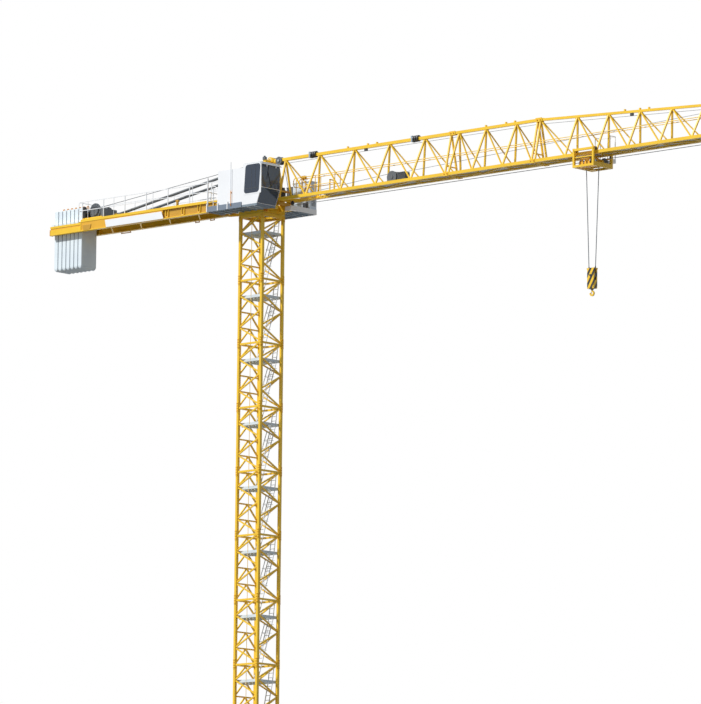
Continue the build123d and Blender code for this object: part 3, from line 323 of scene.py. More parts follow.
def striped(name, colour, dark, pitch):
    """Slanting warning stripes in two colours."""
    material, new, link, shader = new_material(name)
    place = new("ShaderNodeTexCoord")
    split = new("ShaderNodeSeparateXYZ")
    link(place.outputs["Object"], split.inputs["Vector"])

    def maths(kind, a, b):
        step = new("ShaderNodeMath")
        step.operation = kind
        for socket, value in zip(step.inputs, (a, b)):
            if isinstance(value, float):
                socket.default_value = value
            else:
                link(value, socket)
        return step.outputs["Value"]

    across = maths("ADD", split.outputs["X"], split.outputs["Y"])
    slant = maths("SUBTRACT", across, maths("MULTIPLY", split.outputs["Z"], 0.6))
    wave = maths("FRACT", maths("DIVIDE", slant, pitch), 0.0)
    stripe = maths("GREATER_THAN", wave, 0.5)
    mix = new("ShaderNodeMix")
    mix.data_type = "RGBA"
    link(stripe, mix.inputs["Factor"])
    put(mix, A=linear(colour) + [1], B=linear(dark) + [1])
    link(mix.outputs["Result"], shader.inputs["Base Color"])
    put(shader, Roughness=0.45)
    return material


YELLOW = (0.985, 0.80, 0.17)
yellow = worn_paint("yellow_paint", YELLOW, 0.42, 0.04, 1.6, grime=0.03)
orange = worn_paint("orange_paint", (0.91, 0.60, 0.10), 0.45, 0.05)
# Ochre and amber are darker yellows; on the girder web panels, side cover and pocket and on the jib's foot
# beams they are painted shade.
ochre = worn_paint("ochre_paint", (0.80, 0.60, 0.13), 0.5, 0.05)
amber = worn_paint("amber_paint", (0.92, 0.69, 0.14), 0.45, 0.05)
# Dark grey of the strips between the counterweight slabs: painted shade.
slab_gap_shade_grey = worn_paint("slab_gap_shade_grey", (0.42, 0.45, 0.48), 0.9, 0.08, 6.0)
galvanised = worn_paint("galvanised", (0.66, 0.69, 0.71), 0.5, 0.08, 6.0, metallic=0.35)
deck_grey = grating("deck_grating", (0.50, 0.56, 0.60), (0.24, 0.27, 0.30), 0.04)
deck_edge = worn_paint("deck_edge", (0.62, 0.68, 0.73), 0.5, 0.05)
dark = worn_paint("dark_machinery", (0.20, 0.21, 0.22), 0.45, 0.12, 5.0)
black = worn_paint("black_rubber", (0.08, 0.085, 0.09), 0.6, 0.1)
concrete = worn_paint("concrete", (0.93, 0.97, 0.995), 0.85, 0.04, 2.2, bump=0.004, grime=0.03)
white = worn_paint("white_paint", (0.97, 0.975, 0.98), 0.4, 0.015, 2.0)
pale = worn_paint("pale_grey", (0.80, 0.83, 0.86), 0.5, 0.04)
fascia_grey = worn_paint("fascia_grey", (0.46, 0.51, 0.57), 0.5, 0.05)
platform_grey = worn_paint("platform_grey", (0.84, 0.88, 0.90), 0.6, 0.05)
walkway_grey = grating("walkway_grating", (0.80, 0.81, 0.78), (0.52, 0.52, 0.48), 0.05)
wire = worn_paint("wire_rope", (0.46, 0.48, 0.50), 0.6, 0.15, 40.0)
tie_grey = worn_paint("tie_rod_paint", (0.36, 0.38, 0.40), 0.4, 0.1, 4.0)
cabinet = worn_paint("cabinet_paint", (0.83, 0.88, 0.93), 0.5, 0.03)
stripes = striped("hazard_stripes", YELLOW, (0.12, 0.12, 0.12), 0.19)
seat_cloth = worn_paint("seat_cloth", (0.16, 0.17, 0.19), 0.9, 0.15, 30.0)

glass = worn_paint("cab_glass", (0.23, 0.28, 0.35), 0.06, 0.08, 1.2)
# Front panes: lighter and bluer than the side glass, a painted reflection of a bright, cool surround.
front_glass_painted_reflection = worn_paint("cab_front_glass", (0.27, 0.34, 0.43), 0.06, 0.08, 1.2)
for pane_material in (glass, front_glass_painted_reflection):
    put(pane_material.node_tree.nodes["Principled BSDF"], Transmission_Weight=0.22, IOR=1.45)

SLOT_MATERIALS = {
    "yellow_paint": yellow, "galvanised_steel": galvanised, "deck_grey": deck_grey, "dark_machinery": dark,
    "concrete": concrete, "white_paint": white, "cab_glazing": glass, "wire_rope": wire,
    "cabinet_paint": cabinet, "hazard_paint": stripes,
}
NODE_MATERIALS = {"cab_deck_railing": white, "counter_jib_railings": white, "far_deck_railing": yellow,
                  "tower_platforms": platform_grey, "winch_bed": yellow, "maintenance_basket": white,
                  "tie_rods": tie_grey, "tower_ladders": pale, "jib_walkway": walkway_grey}
for row in frame["record"]["subparts"]:
    obj = NODES[row["node"]]
    obj.data.materials.clear()
    obj.data.materials.append(NODE_MATERIALS.get(row["node"], SLOT_MATERIALS[row["material_slot"]]))

# Bodies, and the commonest material slots
UPPER, TOWER, TROLLEY, BLOCK = "upperworks", "tower", "trolley", "hook_block"
PAINT, STEEL, MACHINE, DECK = "yellow_paint", "galvanised_steel", "dark_machinery", "deck_grey"


# Tower
def tower_joints():
    """Plates with bolts where the legs of two sections meet."""
    plates, bolts = Shape(), Shape()
    half, thick, reach, foot_reach = 0.036, 0.012, 0.16, 0.09
    for level in range(SECTIONS + 1):
        z = TOWER_FOOT + level * SECTION
        low = z - (reach if level else foot_reach)
        high = z + reach if level < SECTIONS else z
        rows = 4 if level < SECTIONS else 2
        for sx, sy in CORNERS:
            for along_x in (True, False):
                def place(u, v, d):
                    face = LEG_FACE + d
                    if along_x:
                        return (sx * LEG + u, sy * face, v)
                    return (sx * face, sy * LEG + u, v)

                plates.prism(rounded((-half, low), (half, high), thick, 2), 0.0, thick, place)
                for row in range(rows):
                    v = low + (row + 0.5) * (high - low) / rows
                    for u in (-half / 2, half / 2):
                        bolts.tube([place(u, v, thick), place(u, v, 2 * thick)], 0.010, 6)
    plates.make("tower_joint_plates", TOWER, yellow, PAINT)
    bolts.make("tower_joint_bolts", TOWER, orange, PAINT)


def platform_fittings():
    """Toe boards and joists of the rest platforms, and the cable that passes them."""
    edges, joists, cable = Shape(), Shape(), Shape()
    rim, half, board = 0.43, 0.006, 0.06
    for i in range(SECTIONS):
        top = platform_top(i)
        for s in (-1, 1):
            edges.box((-0.44, s * rim - half, top), (0.44, s * rim + half, top + board))
            edges.box((s * rim - half, -0.42, top), (s * rim + half, 0.42, top + board))
        for k in range(6):
            x = -0.37 + k * 0.148
            joists.box((x - 0.012, -0.42, top - 0.075), (x + 0.012, 0.02, top - 0.03))
    edges.make("platform_toe_boards", TOWER, platform_grey, DECK)
    joists.make("platform_joists", TOWER, platform_grey, DECK)
    x, y, radius = -0.03, -0.435, 0.009
    for i in range(SECTIONS):
        top = platform_top(i)
        low = top - SECTION if i else TOWER_FOOT
        cable.rod((x, y, low), (x, y, top - 0.03), radius)
    cable.rod((x, y, TOWER_TOP - PLATFORM_DROP), (x, y, TOWER_TOP - 0.06), radius)
    cable.make("tower_cable", TOWER, yellow, PAINT)


def ladder_fittings():
    """Holds above the platforms and hoops round the ladders."""
    low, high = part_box("tower_ladders")
    holds, cages = Shape(), Shape()
    ends, hold_y = (low.x + 0.011, high.x - 0.011), 0.37
    for i in range(SECTIONS):
        foot = platform_top(i) + 0.01
        for x in ends:
            holds.bar((x, hold_y, foot), (x, 0.425, platform_top(i) + 0.46), 0.022)
        for k in range(1, 4):
            y, z = hold_y + 0.018 * k, foot + 0.15 * k
            holds.rod((ends[0], y, z), (ends[1], y, z), 0.009)
    holds.make("ladder_holds", TOWER, pale, STEEL)
    lean = 0.765 / SECTION
    middle, reach, depth, radius = (low.x + high.x) / 2, 0.13, 0.30, 0.007
    turns = [math.radians(180 + 180 * k / 10) for k in range(11)]
    for i in range(1, SECTIONS):
        hoops = []
        for drop in (0.22, 0.50, 0.78, 1.06):
            y, z = 0.44 - lean * drop, platform_top(i) - drop
            hoops.append([(middle + reach * math.cos(t), y + depth * math.sin(t), z) for t in turns])
            cages.tube(hoops[-1], radius, 6)
        for k in (2, 5, 8):
            cages.tube([hoop[k] for hoop in hoops], radius, 6)
    cages.make("ladder_cages", TOWER, pale, STEEL)


def tower_top_gussets():
    """Flared plates between the legs below the slewing ring."""
    gussets = Shape()
    flare = [(0.036, 16.60), (0.045, 16.70), (0.075, 16.76), (0.13, 16.80), (0.036, 16.80)]
    near, far = LEG_FACE - 0.03, LEG_FACE - 0.012
    for sx, sy in CORNERS:
        gussets.prism(flare, near, far, lambda u, v, d: (sx * (LEG - u), sy * d, v))
        gussets.prism(flare, near, far, lambda u, v, d: (sx * d, sy * (LEG - u), v))
    gussets.make("tower_top_gussets", TOWER, yellow, PAINT)


# Slewing ring, cab and decks
def slewing_fittings():
    """Bolts of the slewing ring, and ribs and lugs of the platform on it."""
    bolts, count = Shape(), 36
    for i in range(count):
        turn = 2 * math.pi * (i + 0.5) / count
        spot = Vector((math.cos(turn), math.sin(turn), 0)) * 0.46
        bolts.tube([(spot.x, spot.y, 16.796), (spot.x, spot.y, 16.811)], 0.012, 6)
    bolts.make("slewing_ring_bolts", TOWER, dark, MACHINE)
    ribs = Shape()
    for x in (-0.36, -0.12, 0.12, 0.36):
        ribs.box((x - 0.008, 0.525, 17.01), (x + 0.008, 0.56, 17.16))
    for y in (-0.18, 0.18):
        ribs.box((0.525, y - 0.008, 16.89), (0.55, y + 0.008, 17.16))
    ribs.make("slewing_platform_ribs", UPPER, yellow, PAINT)
    lugs = Shape()
    for y in (-0.455, -0.36):
        lugs.disc((0.535, y, 16.95), 0.05, 0.036, ALONG_Y, 20)
        lugs.box((0.52, y - 0.015, 16.9), (0.585, y + 0.015, 16.955))
    lugs.make("slewing_platform_lugs", UPPER, orange, PAINT)


def cab_fittings():
    """Window surround and panes, visor, roof skin, lamps, seams, wiper, seat and consoles."""
    sill, lean = 17.36, 0.068

    def side(u, v, d):
        return (u, CAB_SIDE - d, v)

    def front(u, v, d):
        return (CAB_FRONT + d, u, v)

    def leaning(low, high, radius):
        """A rounded window outline whose sides lean forwards."""
        return [(u + lean * (v - sill), v) for u, v in rounded(low, high, radius)]

    surround = Shape().frame(rounded((0.37, 17.32), (1.148, 18.325), 0.03),
                             leaning((0.412, sill + 0.012), (1.043, 18.278), 0.09), 0.001, 0.004, side)
    surround.make("cab_window_surround", UPPER, white, "white_paint", smooth=False)
    pane = Shape().prism(leaning((0.40, sill), (1.055, 18.29), 0.10), 0.0025, 0.008, side)
    pane.make("cab_outer_panes", UPPER, glass, "cab_glazing")
    pane = Shape().prism(rounded((-1.25, 17.515), (-0.405, 18.25), 0.03), 0.001, 0.006, front)
    slope = Vector((0.185, 0, 0.505)).normalized()
    out = Vector((slope.z, 0, -slope.x))
    toe = Vector((0.965, 0, CAB_FLOOR))

    def lower(u, v, d):
        spot = toe + slope * v + out * d
        return (spot.x, u, spot.z)

    pane.prism(rounded((-1.255, 0.02), (-0.412, 0.53), 0.03), 0.001, 0.006, lower)
    # The front panes take the lighter, bluer glass, a painted reflection.
    pane.make("cab_front_panes", UPPER, front_glass_painted_reflection, "cab_glazing")
    bars = Shape()
    for x in (0.74, 0.90):
        bars.box((x - 0.006, -1.291, 17.42), (x + 0.006, -1.287, 18.24))
    bars.box((0.47, -1.2915, 17.50), (1.03, -1.2875, 17.512))
    bars.make("cab_window_bars", UPPER, dark, MACHINE)
    outline = [(1.10, 18.29), (1.20, 18.245), (1.215, 18.262), (1.12, 18.33)]
    lip = Shape().prism(outline, -1.30, -0.385, upright)
    lip.make("cab_visor", UPPER, pale, "white_paint")
    outline = rounded((0.345, -1.285), (1.12, -0.405), 0.06)
    roof = Shape().prism(outline, CAB_TOP, CAB_TOP + 0.02, lambda u, v, d: (u, v, d))
    roof.make("cab_roof_skin", UPPER, white, "white_paint", bevel=0.008)
    lamps = Shape()
    for y in (-1.05, -0.62):
        lamps.box((1.152, y - 0.02, 18.2), (1.19, y + 0.02, 18.25))
    lamps.make("cab_lamps", UPPER, white, "white_paint")
    seam = Shape().box((1.150, -1.262, 17.500), (1.162, -0.405, 17.515))
    seam.box((0.955, -0.412, CAB_FLOOR), (0.968, -0.402, CAB_FLOOR + 0.03))
    seam.bar((0.972, -0.408, 17.02), (1.157, -0.408, 17.51), 0.012, 0.02)
    seam.make("cab_front_seams", UPPER, white, "white_paint")
    wiper = Shape().bar((1.162, -0.84, 17.6), (1.162, -0.98, 18.05), 0.014)
    wiper.bar((1.162, -1.02, 17.8), (1.162, -0.94, 18.22), 0.010)
    wiper.make("cab_wiper", UPPER, black, MACHINE)
    seat = Shape().box((0.52, -1.02, 17.28), (0.86, -0.66, 17.40))
    seat.box((0.48, -1.02, 17.40), (0.58, -0.66, 17.95)).box((0.5, -0.94, 17.97), (0.57, -0.74, 18.08))
    seat.rod((0.68, -0.84, 17.04), (0.68, -0.84, 17.3), 0.05)
    seat.make("cab_seat", UPPER, seat_cloth, MACHINE, bevel=0.02)
    console = Shape()
    for y in (-1.14, -0.54):
        console.box((0.6, y - 0.06, 17.04), (0.95, y + 0.06, 17.5))
        console.rod((0.88, y, 17.5), (0.9, y, 17.6), 0.012)
        console.disc((0.9, y, 17.61), 0.022, 0.03, ALONG_Z, 12)
    console.make("cab_consoles", UPPER, dark, MACHINE, bevel=0.01)


def deck_fittings():
    """Fascias, ribs, rim, posts and mast of the side decks, and the frame behind the plain panel."""
    fascia, ribs, posts = Shape(), Shape(), Shape()
    near_y, near_low, near_top = -1.298, 16.935, 17.11
    far_y, far_low, far_top, rim_top = 1.275, 16.925, 17.008, 17.09
    fascia.box((-1.25, near_y, near_low), (0.30, -1.281, near_top))
    fascia.box((-1.26, near_y, near_low), (-1.245, -0.53, near_top))
    floor = Shape().box((0.32, -1.275, 16.945), (0.965, -0.56, 16.965))
    floor.make("cab_floor_pan", UPPER, deck_edge, DECK)
    fascia.box((0.967, -1.272, 16.93), (0.979, -0.415, 17.002))
    fascia.box((-0.303, far_y, far_low), (0.298, 1.293, far_top))
    fascia.box((-0.303, 0.54, far_low), (-0.285, far_y, far_top))
    rib, rib_low, rib_top = 0.015, 16.92, 16.965
    for count, start, pitch, y0, y1 in ((8, -1.1, 0.28, -1.27, -0.57), (6, -0.18, 0.25, 0.57, far_y)):
        for i in range(count):
            x = start + i * pitch
            ribs.box((x - rib, y0, rib_low), (x + rib, y1, rib_top))
    for x in (-1.23, -0.75, -0.32):
        posts.box((x - 0.018, -1.308, 16.94), (x + 0.018, near_y, 17.2))
    rim = Shape().box((0.96, 0.06, far_low), (1.196, 0.074, 17.06))
    rim.box((1.196, 0.06, far_low), (1.21, far_y, rim_top))
    rim.box((0.96, 0.074, 16.967), (1.196, 0.524, 17.003))
    rim.box((0.30, 1.272, far_low), (1.21, 1.292, rim_top))
    rim.make("far_deck_rim", UPPER, white, DECK)
    curve = ((-1.23, 0.0), (-1.10, 0.03), (-0.90, 0.02), (-0.80, -0.04))
    for z in (17.40, 17.72):
        posts.tube([(x, -1.26, z + rise) for x, rise in curve], 0.010)
    posts.rod((-1.23, -1.262, 16.95), (-1.23, -1.262, 18.05), 0.026, 12)
    posts.rod((-0.98, -1.262, 17.0), (-0.98, -1.262, 17.70), 0.012, 10)
    x, y, seam = -0.16, -1.312, 17.52
    mast = Shape().rod((x, y, seam), (x, y, 18.45), 0.008)
    mast.make("deck_mast", UPPER, pale, STEEL)
    foot = Shape().rod((x, y, 17.02), (x, y, seam), 0.010)
    for low, high in ((17.03, 17.06), (17.45, 17.48)):
        foot.box((-0.175, y, low), (-0.145, CAB_SIDE, high))
    foot.make("deck_mast_foot", UPPER, orange, PAINT)
    fascia.make("deck_fascias", UPPER, fascia_grey, DECK)
    ribs.make("deck_ribs", UPPER, deck_edge, DECK)
    posts.make("deck_posts", UPPER, white, "white_paint")
    panel = Shape()
    back, front = -1.25, -1.225
    for x in (-0.755, -0.2, 0.33):
        panel.box((x - 0.012, back, 17.006), (x + 0.012, front, 18.2))
    for low, high in ((18.17, 18.2), (17.55, 17.58)):
        panel.box((-0.76, back, low), (0.34, front, high))
    panel.make("panel_back_frame", UPPER, galvanised, STEEL)


def cabinet_fittings():
    """Doors, louvres and cap of the switch cabinet, and the control box beside it."""
    doors = Shape()
    near, far, low, high, width = 0.993, 1.297, 17.04, 17.95, 0.365
    for x in (0.435, 0.815):
        doors.box((x, 1.29, low), (x + width, far, high))
        doors.box((x, near, low), (x + width, 1.0, high))
    doors.make("cabinet_doors", UPPER, cabinet, "cabinet_paint", bevel=0.003)
    louvres = Shape()
    for i in range(6):
        z = 17.2 + i * 0.035
        louvres.box((1.2, 1.05, z), (1.206, 1.24, z + 0.014))
        louvres.box((0.5, far, z), (0.72, 1.302, z + 0.014))
    for x in (0.78, 0.84):
        louvres.box((x, far, 17.5), (x + 0.02, 1.31, 17.6))
        louvres.box((x, 0.98, 17.5), (x + 0.02, near, 17.6))
    louvres.box((0.87, 0.986, 17.14), (1.10, 0.9935, 17.32))
    louvres.make("cabinet_louvres", UPPER, dark, MACHINE)
    side_box = Shape().box((0.14, 1.0, 17.04), (0.405, 1.25, 17.88))
    side_box.box((0.155, 0.992, 17.08), (0.39, 1.001, 17.84))
    side_box.box((0.13, 0.985, 17.88), (0.412, 1.258, 17.90))
    for x in (0.16, 0.35):
        side_box.box((x, 1.02, 17.003), (x + 0.035, 1.23, 17.041))
    side_box.make("control_box", UPPER, tie_grey, MACHINE, bevel=0.004)
    cap = Shape().box((0.40, 0.98, 17.985), (1.22, 1.31, 18.01))
    cap.make("cabinet_cap", UPPER, pale, "cabinet_paint", bevel=0.006)


# Jib and head
def jib_fittings():
    """Handrails, wires, lugs, couplings and small devices along the jib."""
    rails = Shape()
    top, middle, radius = 17.89, 17.58, 0.013
    bend = ((3.3, middle), (1.62, middle), (1.53, 17.61), (1.50, 17.68), (1.50, 17.80), (1.53, 17.87),
            (1.60, top))
    for y in (-0.13, 0.13):
        rails.rod((1.55, y, top), (22.3, y, top), radius)
        rails.tube([(x, y, z) for x, z in bend], radius)
        for x in (1.62, 2.45, 3.3):
            rails.rod((x, y, 17.24), (x, y, top), radius)
    rails.make("jib_handrails", UPPER, yellow, PAINT)
    wires = Shape()
    wires.rod((2.55, 0.02, 17.42), (5.6, 0.02, 17.62), 0.008)
    drop, end, thin = 0.13, JIB_WALK_END, 0.007
    wires.rod((6.25, 0.02, 17.60), (21.9, 0.02, 17.60 + 0.55), thin)
    wires.rod((1.05, 0.0, TOP_Z - drop), (TAPER_START, 0.0, TOP_Z - drop), thin)
    wires.rod((TAPER_START, 0.0, TOP_Z - drop), (end, 0.0, top_z(end) - drop), thin)
    wires.make("jib_wires", UPPER, wire, "wire_rope")
    lugs = Shape()
    for x in (3.74, 4.6, 4.99, 9.59, 10.42, 10.79, 15.24, 15.84, 16.2, 20.6):
        z = top_z(x) + top_half(x) - 0.004
        lugs.box((x - 0.025, -0.03, z), (x + 0.025, 0.03, z + 0.06))
    half, deep = 0.006, 0.065
    for x in JIB_JOINTS:
        z = top_z(x)
        for s in (-1, 1):
            y = s * 0.052
            lugs.box((x - 0.13, y - half, z - deep), (x + 0.13, y + half, z + deep))
            for y in (s * 0.245, s * 0.355):
                lugs.box((x - 0.10, y - half, 17.185), (x + 0.10, y + half, 17.315))
    lugs.make("jib_lugs", UPPER, yellow, PAINT)
    pins, bars, pin = Shape(), Shape(), 0.022
    for x in JIB_JOINTS:
        for dx in (-0.06, 0.06):
            z = top_z(x + dx)
            pins.rod((x + dx, -0.075, z), (x + dx, 0.075, z), pin, 12)
            for s in (-1, 1):
                pins.rod((x + dx, s * 0.23, CHORD_Z), (x + dx, s * 0.372, CHORD_Z), pin, 12)
        bars.bar((x - 0.07, -0.25, 17.52), (x - 0.07, 0.25, 17.52), 0.035)
    for s in (-1, 1):
        pins.rod((0.9, s * 0.22, CHORD_Z), (0.9, s * 0.38, CHORD_Z), 0.026, 12)
    bars.make("jib_portal_bars", UPPER, yellow, PAINT)
    pins.make("jib_pins", UPPER, orange, PAINT)
    gear = Shape()
    for x in (4.52, 15.52):
        z = top_z(x)
        gear.box((x - 0.05, -0.035, z - 0.13), (x + 0.05, 0.035, z - 0.05))
    ends = Shape()
    for x in (2.25, 6.65):
        for dx in (-0.05, 0.03, 0.11):
            gear.disc((x + dx, 0, TOP_Z + 0.015), 0.105, 0.045, ALONG_X, 24)
        ends.box((x - 0.15, -0.08, TOP_Z - 0.08), (x - 0.09, 0.08, TOP_Z + 0.115))
    ends.make("roller_end_plates", UPPER, deck_edge, STEEL)
    gear.make("jib_devices", UPPER, dark, MACHINE)


def jib_root_fittings():
    """Trolley winch case, foot plates, brackets and walkway edges."""
    winch_low, winch_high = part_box("trolley_winch")
    case = Shape()
    x, z = winch_low.x + 0.19, winch_low.z + 0.206
    for s in (-1, 1):
        case.disc((x, s * 0.13, z), 0.2, 0.02, ALONG_Y, 32)
        case.disc((x, s * 0.145, z), 0.06, 0.02, ALONG_Y, 20)
    for i in range(7):
        x = winch_high.x - 0.30 + i * 0.045
        case.box((x, -0.122, winch_low.z + 0.02), (x + 0.012, 0.122, winch_high.z - 0.06))
    case.make("trolley_winch_case", UPPER, tie_grey, MACHINE)
    foot = Shape().box((0.55, -0.33, 17.175), (0.62, 0.33, 17.46))
    foot.box((0.62, -0.30, 17.31), (0.94, 0.30, 17.33))
    foot.make("jib_foot_plates", UPPER, ochre, PAINT)
    bracket = Shape()
    x, top, thick = 3.06, 17.69, 0.03
    for y in (-0.1, 0.1):
        bracket.bar((x, y, 17.25), (x, y, top), thick)
    bracket.bar((x, -0.115, top), (x, 0.115, top), thick)
    bracket.make("walkway_bracket", UPPER, yellow, PAINT)
    loop = Shape().box((1.77, -0.05, 17.84), (1.91, 0.05, 17.955))
    bend = ((1.76, 17.8), (1.76, 17.56), (1.79, 17.51), (1.84, 17.49), (1.89, 17.51), (1.92, 17.56),
            (1.92, 17.8))
    loop.tube([(x, 0, z) for x, z in bend], 0.018, 8)
    loop.bar((1.84, -0.17, 17.88), (1.84, 0.17, 17.88), thick)
    loop.make("root_bracket", UPPER, ochre, PAINT)
    edge = Shape()
    for s in (-1, 1):
        y = s * 0.228
        edge.box((2.75, y - 0.006, 17.254), (JIB_WALK_END, y + 0.006, 17.285))
    edge.make("walkway_edges", UPPER, galvanised, STEEL)


def head_fittings():
    """Lifting lugs, sheave covers and hubs, slewing gear and the beams at the jib's foot, whose ochre is
    painted shade.
    """
    lug = Shape()
    lug_x = 0.39
    arc = [math.radians(a) for a in range(0, 181, 15)]
    outline = [(0.27, 18.56), (0.51, 18.56)]
    outline += [(lug_x + 0.12 * math.cos(a), 18.63 + 0.10 * math.sin(a)) for a in arc]
    for y in (-0.075, 0.045):
        lug.prism(outline, y, y + 0.03, upright)
    lug.make("head_lugs", UPPER, yellow, PAINT)
    turns = [2 * math.pi * i / 20 for i in range(20)]
    ring = [(lug_x + 0.045 * math.cos(t), -0.079, 18.64 + 0.045 * math.sin(t)) for t in turns]
    Shape().tube(ring, 0.012, 8, closed=True).make("head_lug_eye", UPPER, pale, STEEL)
    cover, hub = Shape(), Shape()
    sheave_x, sheave_z = 0.78, 18.57
    for s in (-1, 1):
        cover.disc((sheave_x, s * 0.066, sheave_z), 0.13, 0.03, ALONG_Y, 40)
        cover.disc((sheave_x, s * 0.086, sheave_z), 0.055, 0.02, ALONG_Y, 24)
        hub.disc((sheave_x, s * 0.099, sheave_z), 0.035, 0.01, ALONG_Y, 20)
    cover.box((0.335, -0.36, 18.605), (0.435, -0.26, 18.70))
    cover.box((0.36, -0.34, 18.70), (0.40, -0.28, 18.74))
    cover.make("head_sheave_covers", UPPER, tie_grey, MACHINE)
    x, y = 0.80, 0.12
    gear = Shape().rod((x, y, 17.30), (x, y, 17.62), 0.095, 24)
    gear.disc((x, y, 17.66), 0.07, 0.08, ALONG_Z, 24).disc((x, y, 17.33), 0.12, 0.05, ALONG_Z, 24)
    gear.box((0.66, -0.25, 17.298), (0.90, -0.05, 17.46))
    gear.make("slewing_gear", UPPER, dark, MACHINE)
    # Ochre beams at the jib's foot: a darker yellow painted as the shade under the jib's root.
    beams = Shape().box((0.97, -0.34, 17.08), (1.05, 0.34, 17.165))
    beams.box((0.905, -0.325, 17.52), (0.965, 0.325, 17.58))
    for s in (-1, 1):
        beams.box((0.98, s * 0.30 - 0.03, 17.16), (1.04, s * 0.30 + 0.03, 17.205))
    beams.make("jib_foot_beams_painted_shade", UPPER, ochre, PAINT)
    hub.make("head_sheave_hubs", UPPER, galvanised, STEEL)


# Counter-jib
def slab_shapes():
    """The counterweight slabs with softened edges, so that the joints between them show, with dark grey
    strips in the gaps as painted shade.
    """
    low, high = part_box("counterweight_slabs")
    slabs = Shape()
    half, width, soft, ledge = SLAB_HALF, 0.35, 0.018, 0.061
    levels = [(low.z, 0.072), (low.z + 0.018, 0.045), (low.z + 0.05, 0.016), (low.z + 0.09, 0.0),
              (high.z - 0.012, 0.0), (high.z, 0.012)]
    for i in range(SLABS):
        middle = low.x + half + i * SLAB_PITCH
        rings = []
        for z, inset in levels:
            x, y = half - inset, width - inset * 0.4
            plan = [(x - soft, -y), (x, soft - y), (x, y - soft), (x - soft, y),
                    (soft - x, y), (-x, y - soft), (-x, soft - y), (soft - x, -y)]
            rings.append([(middle + u, v, z) for u, v in plan])
        slabs.stack(rings)
        for s in (-1, 1):
            near, far = sorted((s * 0.345, s * 0.52))
            slabs.box((middle - ledge, near, 17.4003), (middle + ledge, far, 17.4603))
    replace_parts(slabs.make("slab_faces", UPPER, concrete, "concrete", smooth=False), "counterweight_slabs")
    # Dark grey strips deep in the grooves between slabs: painted shade of the gaps.
    joints = Shape()
    for i in range(1, SLABS):
        x = low.x - 0.002 + i * SLAB_PITCH
        for s in (-1, 1):
            near, far = sorted((s * 0.325, s * 0.342))
            joints.box((x - 0.014, near, low.z + 0.09), (x + 0.014, far, high.z - 0.02))
    joints.make("slab_gap_shade_lines", UPPER, slab_gap_shade_grey, "concrete")


def girder_fittings():
    """Web panels, stiffeners, flange faces, bare plate, end plates, pocket and bracing of the girders; the
    ochre web panels, amber side cover and ochre pocket are painted shade.
    """
    loops, web_shade_panels, faces = Shape(), Shape(), Shape()
    bend = ((-0.058, 17.42), (-0.058, 17.20), (-0.04, 17.172),
            (0.04, 17.172), (0.058, 17.20), (0.058, 17.42))
    bands = ((-7.74, -0.78, 17.415, 17.50), (-7.74, -0.78, 17.111, 17.14),
             (-9.18, -7.76, 17.335, 17.405), (-9.18, -7.76, 17.111, 17.285))
    for s in (-1, 1):
        for i in range(5):
            x = -3.81 + 0.725 * i
            loops.tube([(x + dx, s * 0.482, z) for dx, z in bend], 0.016, 8)
        low, high = sorted((s * 0.458, s * 0.466))
        web_shade_panels.box((-3.95, low, 17.135), (-0.78, high, 17.475))
        low, high = sorted((s * 0.50, s * 0.524))
        for x0, x1, z0, z1 in bands:
            faces.box((x0, low, z0), (x1, high, z1))
    loops.make("girder_stiffeners", UPPER, yellow, PAINT)
    # Ochre web panels between the flanges: painted shade, darker than the flange faces.
    web_shade_panels.make("girder_web_painted_shade", UPPER, ochre, PAINT)
    faces.make("girder_flange_faces", UPPER, yellow, PAINT)
    outline = [(-6.56, 17.125), (-3.93, 17.125), (-4.02, 17.37), (-6.62, 17.37)]
    plate = Shape().prism(outline, -0.536, -0.525, upright)
    plate.make("girder_bare_plate", UPPER, white, "white_paint")
    # Amber cover behind the flange faces: a darker yellow painted as the shade on the recessed web.
    plain = Shape().box((-7.74, -0.512, 17.135), (-3.98, -0.495, 17.475))
    plain.box((-9.17, -0.512, 17.135), (-7.78, -0.495, 17.38))
    plain.make("girder_side_cover_painted_shade", UPPER, amber, PAINT)
    end = Shape()
    for low, high in ((-0.526, -0.38), (0.38, 0.526)):
        end.box((-9.205, low, 17.105), (-9.19, high, 17.30))
    end.make("girder_end_plates", UPPER, orange, PAINT)
    # Ochre pocket: painted shade of a face that looks down.
    outline = [(-7.68, 17.31), (-7.27, 17.31), (-7.33, 17.12), (-7.62, 17.12)]
    pocket = Shape().prism(outline, -0.528, -0.51, upright)
    pocket.make("girder_pocket_painted_shade", UPPER, ochre, PAINT, bevel=0.006)
    struts = Shape()
    for s in (-1, 1):
        struts.bar((-0.75, s * 0.45, 17.05), (-1.9, s * 0.45, 17.12), 0.06)
    for i in range(5):
        x0 = -6.42 + i * 1.33
        struts.bar((x0, -0.44, 17.135), (x0 - 0.76, 0.44, 17.135), 0.04, 0.025)
    struts.make("counter_jib_bracing", UPPER, yellow, PAINT)


